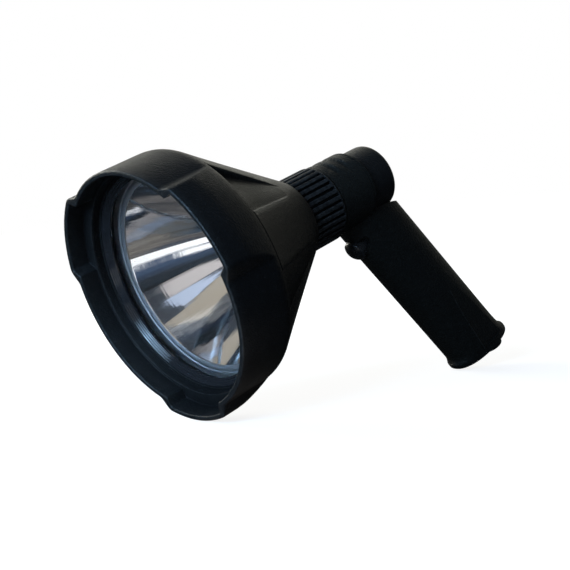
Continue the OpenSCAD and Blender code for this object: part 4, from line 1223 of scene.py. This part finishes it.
class DriveScrews(bpy.types.Operator):
    """Cross-head screws of the grip, the foot plate and the star board"""
    bl_idname = "lamp.drive_screws"
    bl_label = "Screws"

    def execute(self, context):
        _, b, d = settings()
        tree = screw_tree()
        for name, cad_node, axis, sizes in self.sets(b, d):
            places = self.heads(cad_node, axis, sizes["Head Height"])
            points = points_mesh(name + "_points", places)
            mesh = grown(name, tree, points, sizes, finish("steel"), Matrix.Identity(4))
            add_piece(name, mesh, "lamp", "steel", cad_node)
        return {"FINISHED"}

    @staticmethod
    def sets(b, d):
        """Name, CAD node, way that the heads face, and sizes of each set."""
        foot_out = (at_foot(b, d).to_3x3() @ Vector((0, 0, 1))).normalized()
        beam_front = (along_beam().to_3x3() @ Vector((0, 0, -1))).normalized()
        labels = ("Head Radius", "Head Height", "Shank Radius", "Shank Length", "Recess")
        return [(name, cad_node, facing, dict(zip(labels, sizes))) for name, cad_node, facing, sizes in (
            ("screws_grip", "grip_screws", Vector((-1, 0, 0)), (0.0028, 0.002, 0.0015, 0.012, 0.0007)),
            ("screws_foot", "foot_screws", foot_out, (0.0022, 0.001, 0.0012, 0.008, 0.0006)),
            ("screws_star", "led_screws", beam_front, (0.002, 0.0014, 0.001, 0.008, 0.0005)))]

    @staticmethod
    def heads(cad_node, axis, head_height):
        """Middle of each head's underside, read from the CAD node's separate solids."""
        level, head_apart = 2e-5, 0.0075
        mesh = frame["nodes"][cad_node].data
        tips = sorted(((v.co @ axis, v.co.copy()) for v in mesh.vertices), key=lambda item: -item[0])
        top = tips[0][0]
        groups = []
        for reach, co in tips:
            if top - reach > level:
                break
            for found in groups:
                if (found[0] - co).length < head_apart:
                    found.append(co)
                    break
            else:
                groups.append([co])
        places = []
        for found in groups:
            low = Vector([min(c[i] for c in found) for i in range(3)])
            high = Vector([max(c[i] for c in found) for i in range(3)])
            places.append(((low + high) / 2 - axis * head_height, axis))
        if not places:
            raise RuntimeError(f"no heads found on {cad_node}")
        return places


class DressBattery(bpy.types.Operator):
    """Cells, holder and contacts inside the grip"""
    bl_idname = "lamp.dress_battery"
    bl_label = "Battery"

    def execute(self, context):
        coat("cell_wrap", "battery_cells")
        coat("component_black", "battery_holder")
        coat("brass", "cell_contacts")
        return {"FINISHED"}


class SetStage(bpy.types.Operator):
    """Pale floor, soft lamps, cards that the mirror shows, world and camera"""
    bl_idname = "lamp.set_stage"
    bl_label = "Stage"

    # Bearings in degrees round the point where the beam meets the floor, and distances from it
    LIT = (0.0, 17.0)
    BESIDE = (17.0, 130.0)
    DUSK_ENDS = (50.0, 100.0)
    LONG_GLEAM = (18.5, 28.5)
    SHORT_GLEAM = (32.0, 44.0)
    SHORT_REACH = (0.2150, 0.2170)
    SHEEN_REACH = (0.245, 0.32)

    def execute(self, context):
        stage = context.scene.lamp_stage
        context.scene.view_settings.view_transform = "Standard"
        self.floor(stage)
        self.world(context.scene, stage)
        self.lamps(stage)
        self.cards(stage)
        self.camera(context.scene, stage)
        return {"FINISHED"}

    def floor(self, stage):
        """Pale floor that glows, a little less near the lamp so that its shadow shows; mirrored looks see it dim,
        with painted light on it: a lit patch and bright streaks that run to where the beam would meet it.
        """
        bpy.ops.mesh.primitive_plane_add(size=40.0, location=(0, 0, -0.0004))
        floor = bpy.context.object
        floor.name = "floor"
        material, tree = self.bare_material("floor_white")
        straight, mirrored = self.looks(tree)
        place = object_place(tree)
        matte = fed(tree, "ShaderNodeBsdfDiffuse", Color=mixed(tree, mirrored, [0.35] * 3, [0.02] * 3))
        level = remap(tree, measure(tree, "LENGTH", place), 0.18, 0.75, 0.84, 1.0)
        strength = math_node(tree, "MAXIMUM", math_node(tree, "MULTIPLY", straight, level), mirrored)
        tint = mixed(tree, mirrored, (1, 1, 1), self.sheen(tree, place, stage))
        both = node(tree, "ShaderNodeAddShader")
        link(tree, matte, both.inputs[0])
        link(tree, fed(tree, "ShaderNodeEmission", Color=tint, Strength=strength), both.inputs[1])
        link(tree, both.outputs[0], node(tree, "ShaderNodeOutputMaterial").inputs["Surface"])
        floor.data.materials.append(material)

    def sheen(self, tree, place, stage):
        """Painted light on the floor as the mirror shows it, by bearing: a painted lit patch, painted dusk and
        shade, and painted white streaks.
        """
        beam = LAMP.to_3x3().col[1]
        meet = MOUTH - beam * (MOUTH.z / beam.z)
        part = node(tree, "ShaderNodeSeparateXYZ")
        link(tree, place, part.inputs[0])
        bearing = math_node(tree, "ARCTAN2", math_node(tree, "SUBTRACT", part.outputs["X"], meet.x),
                            math_node(tree, "SUBTRACT", part.outputs["Y"], meet.y))
        reach = measure(tree, "DISTANCE", place, meet)
        streaks = remap(tree, noise(tree, bearing, 30.0, line=True), 0.38, 0.62)
        lit = mixed(tree, streaks, stage.dark, stage.table)
        tint = mixed(tree, self.between(tree, bearing, *self.LIT), stage.dark, lit)
        dusk_ends = [math.radians(end) for end in self.DUSK_ENDS]
        beside = mixed(tree, remap(tree, bearing, *dusk_ends), stage.dusk, stage.dark)
        tint = mixed(tree, self.between(tree, bearing, *self.BESIDE), tint, beside)
        short = math_node(tree, "MULTIPLY", self.between(tree, bearing, *self.SHORT_GLEAM),
                          remap(tree, reach, *self.SHORT_REACH, 1.0, 0.0))
        gleams = math_node(tree, "MAXIMUM", self.between(tree, bearing, *self.LONG_GLEAM), short)
        tint = mixed(tree, gleams, tint, [stage.gleam] * 3)
        return mixed(tree, remap(tree, reach, *self.SHEEN_REACH, 1.0, 0.0), stage.dark, tint)

    @staticmethod
    def bare_material(name):
        material = bpy.data.materials.new(name)
        material.use_nodes = True
        material.node_tree.nodes.clear()
        return material, material.node_tree

    @staticmethod
    def between(tree, bearing, first, last):
        """Soft mask between two bearings in degrees."""
        soft = math.radians(0.8)
        first, last = math.radians(first), math.radians(last)
        return math_node(tree, "MULTIPLY", remap(tree, bearing, first - soft, first + soft),
                         remap(tree, bearing, last - soft, last + soft, 1.0, 0.0))

    @staticmethod
    def looks(tree):
        """Masks for a straight look, also through glass, and for a look in a mirror or a gloss."""
        path = node(tree, "ShaderNodeLightPath").outputs
        bounced = math_node(tree, "GREATER_THAN", path["Glossy Depth"], 0.5)
        mirrored = math_node(tree, "MAXIMUM", path["Is Glossy Ray"], bounced)
        through = math_node(tree, "SUBTRACT", path["Is Transmission Ray"], bounced)
        return math_node(tree, "MAXIMUM", path["Is Camera Ray"], through), mirrored

    def world(self, scene, stage):
        """White where it is looked at; glossy pieces show the lit backdrop behind and a dim room in front."""
        world = bpy.data.worlds.new("soft_room")
        world.use_nodes = True
        scene.world = world
        tree = world.node_tree
        straight, mirrored = self.looks(tree)
        way = node(tree, "ShaderNodeTexCoord").outputs["Generated"]
        facing = measure(tree, "DOT_PRODUCT", way, Vector(stage.sweep_way).normalized())
        lit = math_node(tree, "MULTIPLY", mirrored, remap(tree, facing, 0.84, 1.0))
        around = mixed(tree, lit, stage.room, times(stage.sweep, stage.sweep_level))
        link(tree, mixed(tree, straight, around, (1, 1, 1)), tree.nodes["Background"].inputs["Color"])

    @staticmethod
    def panel(name, place, target, width, height, power, tint):
        data = bpy.data.lights.new(name, "AREA")
        data.shape = "RECTANGLE"
        data.size, data.size_y = width, height
        data.energy = power
        data.color = tint
        lamp = bpy.data.objects.new(name, data)
        bpy.context.scene.collection.objects.link(lamp)
        lamp.location = place
        lamp.rotation_euler = (Vector(target) - Vector(place)).to_track_quat("-Z", "Y").to_euler()
        lamp.visible_camera = lamp.visible_transmission = False

    def lamps(self, stage):
        self.panel("key_behind", (-0.80, 0.60, 0.70), (0, 0, 0.06), 0.8, 0.6, stage.key_power, stage.warm)
        self.panel("fill_right", (-1.10, -0.15, 0.45), (0, 0, 0.06), 0.6, 0.6, stage.fill_power, stage.warm)
        self.panel("cool_front", (0.28, -1.15, 0.45), (0, -0.1, 0.08), 0.8, 0.5, stage.cool_power, stage.cool)

    @staticmethod
    def card(name, inner, outer, tint):
        """Glowing card that the camera doesn't see; an edge is an angle off the beam and two angles round it."""
        away, steps = 1.6, 10
        corners = []
        for step in range(steps + 1):
            for off, first, last in (inner, outer):
                leaning, round_by = math.radians(off), math.radians(first + (last - first) * step / steps)
                way = Vector((math.sin(leaning) * math.cos(round_by), -math.cos(leaning),
                              math.sin(leaning) * math.sin(round_by)))
                corners.append(LAMP @ (away * way))
        mesh = bpy.data.meshes.new(name)
        mesh.from_pydata([tuple(corner) for corner in corners], [],
                         [(2 * s, 2 * s + 1, 2 * s + 3, 2 * s + 2) for s in range(steps)])
        material, tree = SetStage.bare_material(name)
        glow = fed(tree, "ShaderNodeEmission", Color=(*tint, 1))
        link(tree, glow, node(tree, "ShaderNodeOutputMaterial").inputs["Surface"])
        mesh.materials.append(material)
        board = bpy.data.objects.new(name, mesh)
        bpy.context.scene.collection.objects.link(board)
        board.visible_camera = False
        board.visible_shadow = False

    def cards(self, stage):
        self.card("card_pale", (38, 11, 40), (60.7, 11, 29.5), stage.pale)
        self.card("card_sky", (46.5, 39.5, 41), (61.7, 29.5, 51), stage.sky)
        self.card("card_sand", (44, 41, 88), (66, 54, 88), stage.sand)

    @staticmethod
    def camera(scene, stage):
        data = bpy.data.cameras.new("camera")
        data.lens = stage.lens_mm
        data.sensor_width = 36.0
        camera = bpy.data.objects.new("camera", data)
        scene.collection.objects.link(camera)
        eye, aim = LAMP @ Vector(stage.eye), LAMP @ Vector(stage.aim)
        upright = (aim - eye).to_track_quat("-Z", "Y").to_matrix().to_4x4()
        camera.matrix_world = Matrix.Translation(eye) @ upright @ Matrix.Rotation(stage.roll, 4, "Z")
        scene.camera = camera


PIECES = (DressShroud, DressOptics, DressBell, DressBarrel, DressCap, DressGrip, DressTrigger, DressFoot,
          DriveScrews, DressBattery, SetStage)


class SearchlightPanel(bpy.types.Panel):
    """Lists the steps that dress the searchlight"""
    bl_idname = "VIEW3D_PT_searchlight"
    bl_label = "Searchlight"
    bl_space_type = "VIEW_3D"
    bl_region_type = "UI"
    bl_category = "Searchlight"

    def draw(self, context):
        for piece in PIECES:
            self.layout.operator(piece.bl_idname)


SIZES = {"lamp_head": LampHeadSizes, "lamp_body": LampBodySizes, "lamp_finish": LampFinishes,
         "lamp_stage": LampStage}
CLASSES = (*SIZES.values(), *PIECES, SearchlightPanel)


def register():
    for cls in CLASSES:
        bpy.utils.register_class(cls)
    for name, cls in SIZES.items():
        setattr(bpy.types.Scene, name, PointerProperty(type=cls))


def unregister():
    for name in SIZES:
        delattr(bpy.types.Scene, name)
    for cls in reversed(CLASSES):
        bpy.utils.unregister_class(cls)


def main():
    register()
    for piece in PIECES:
        getattr(bpy.ops.lamp, piece.bl_idname.split(".")[1])()


if __name__ == "__main__":
    main()
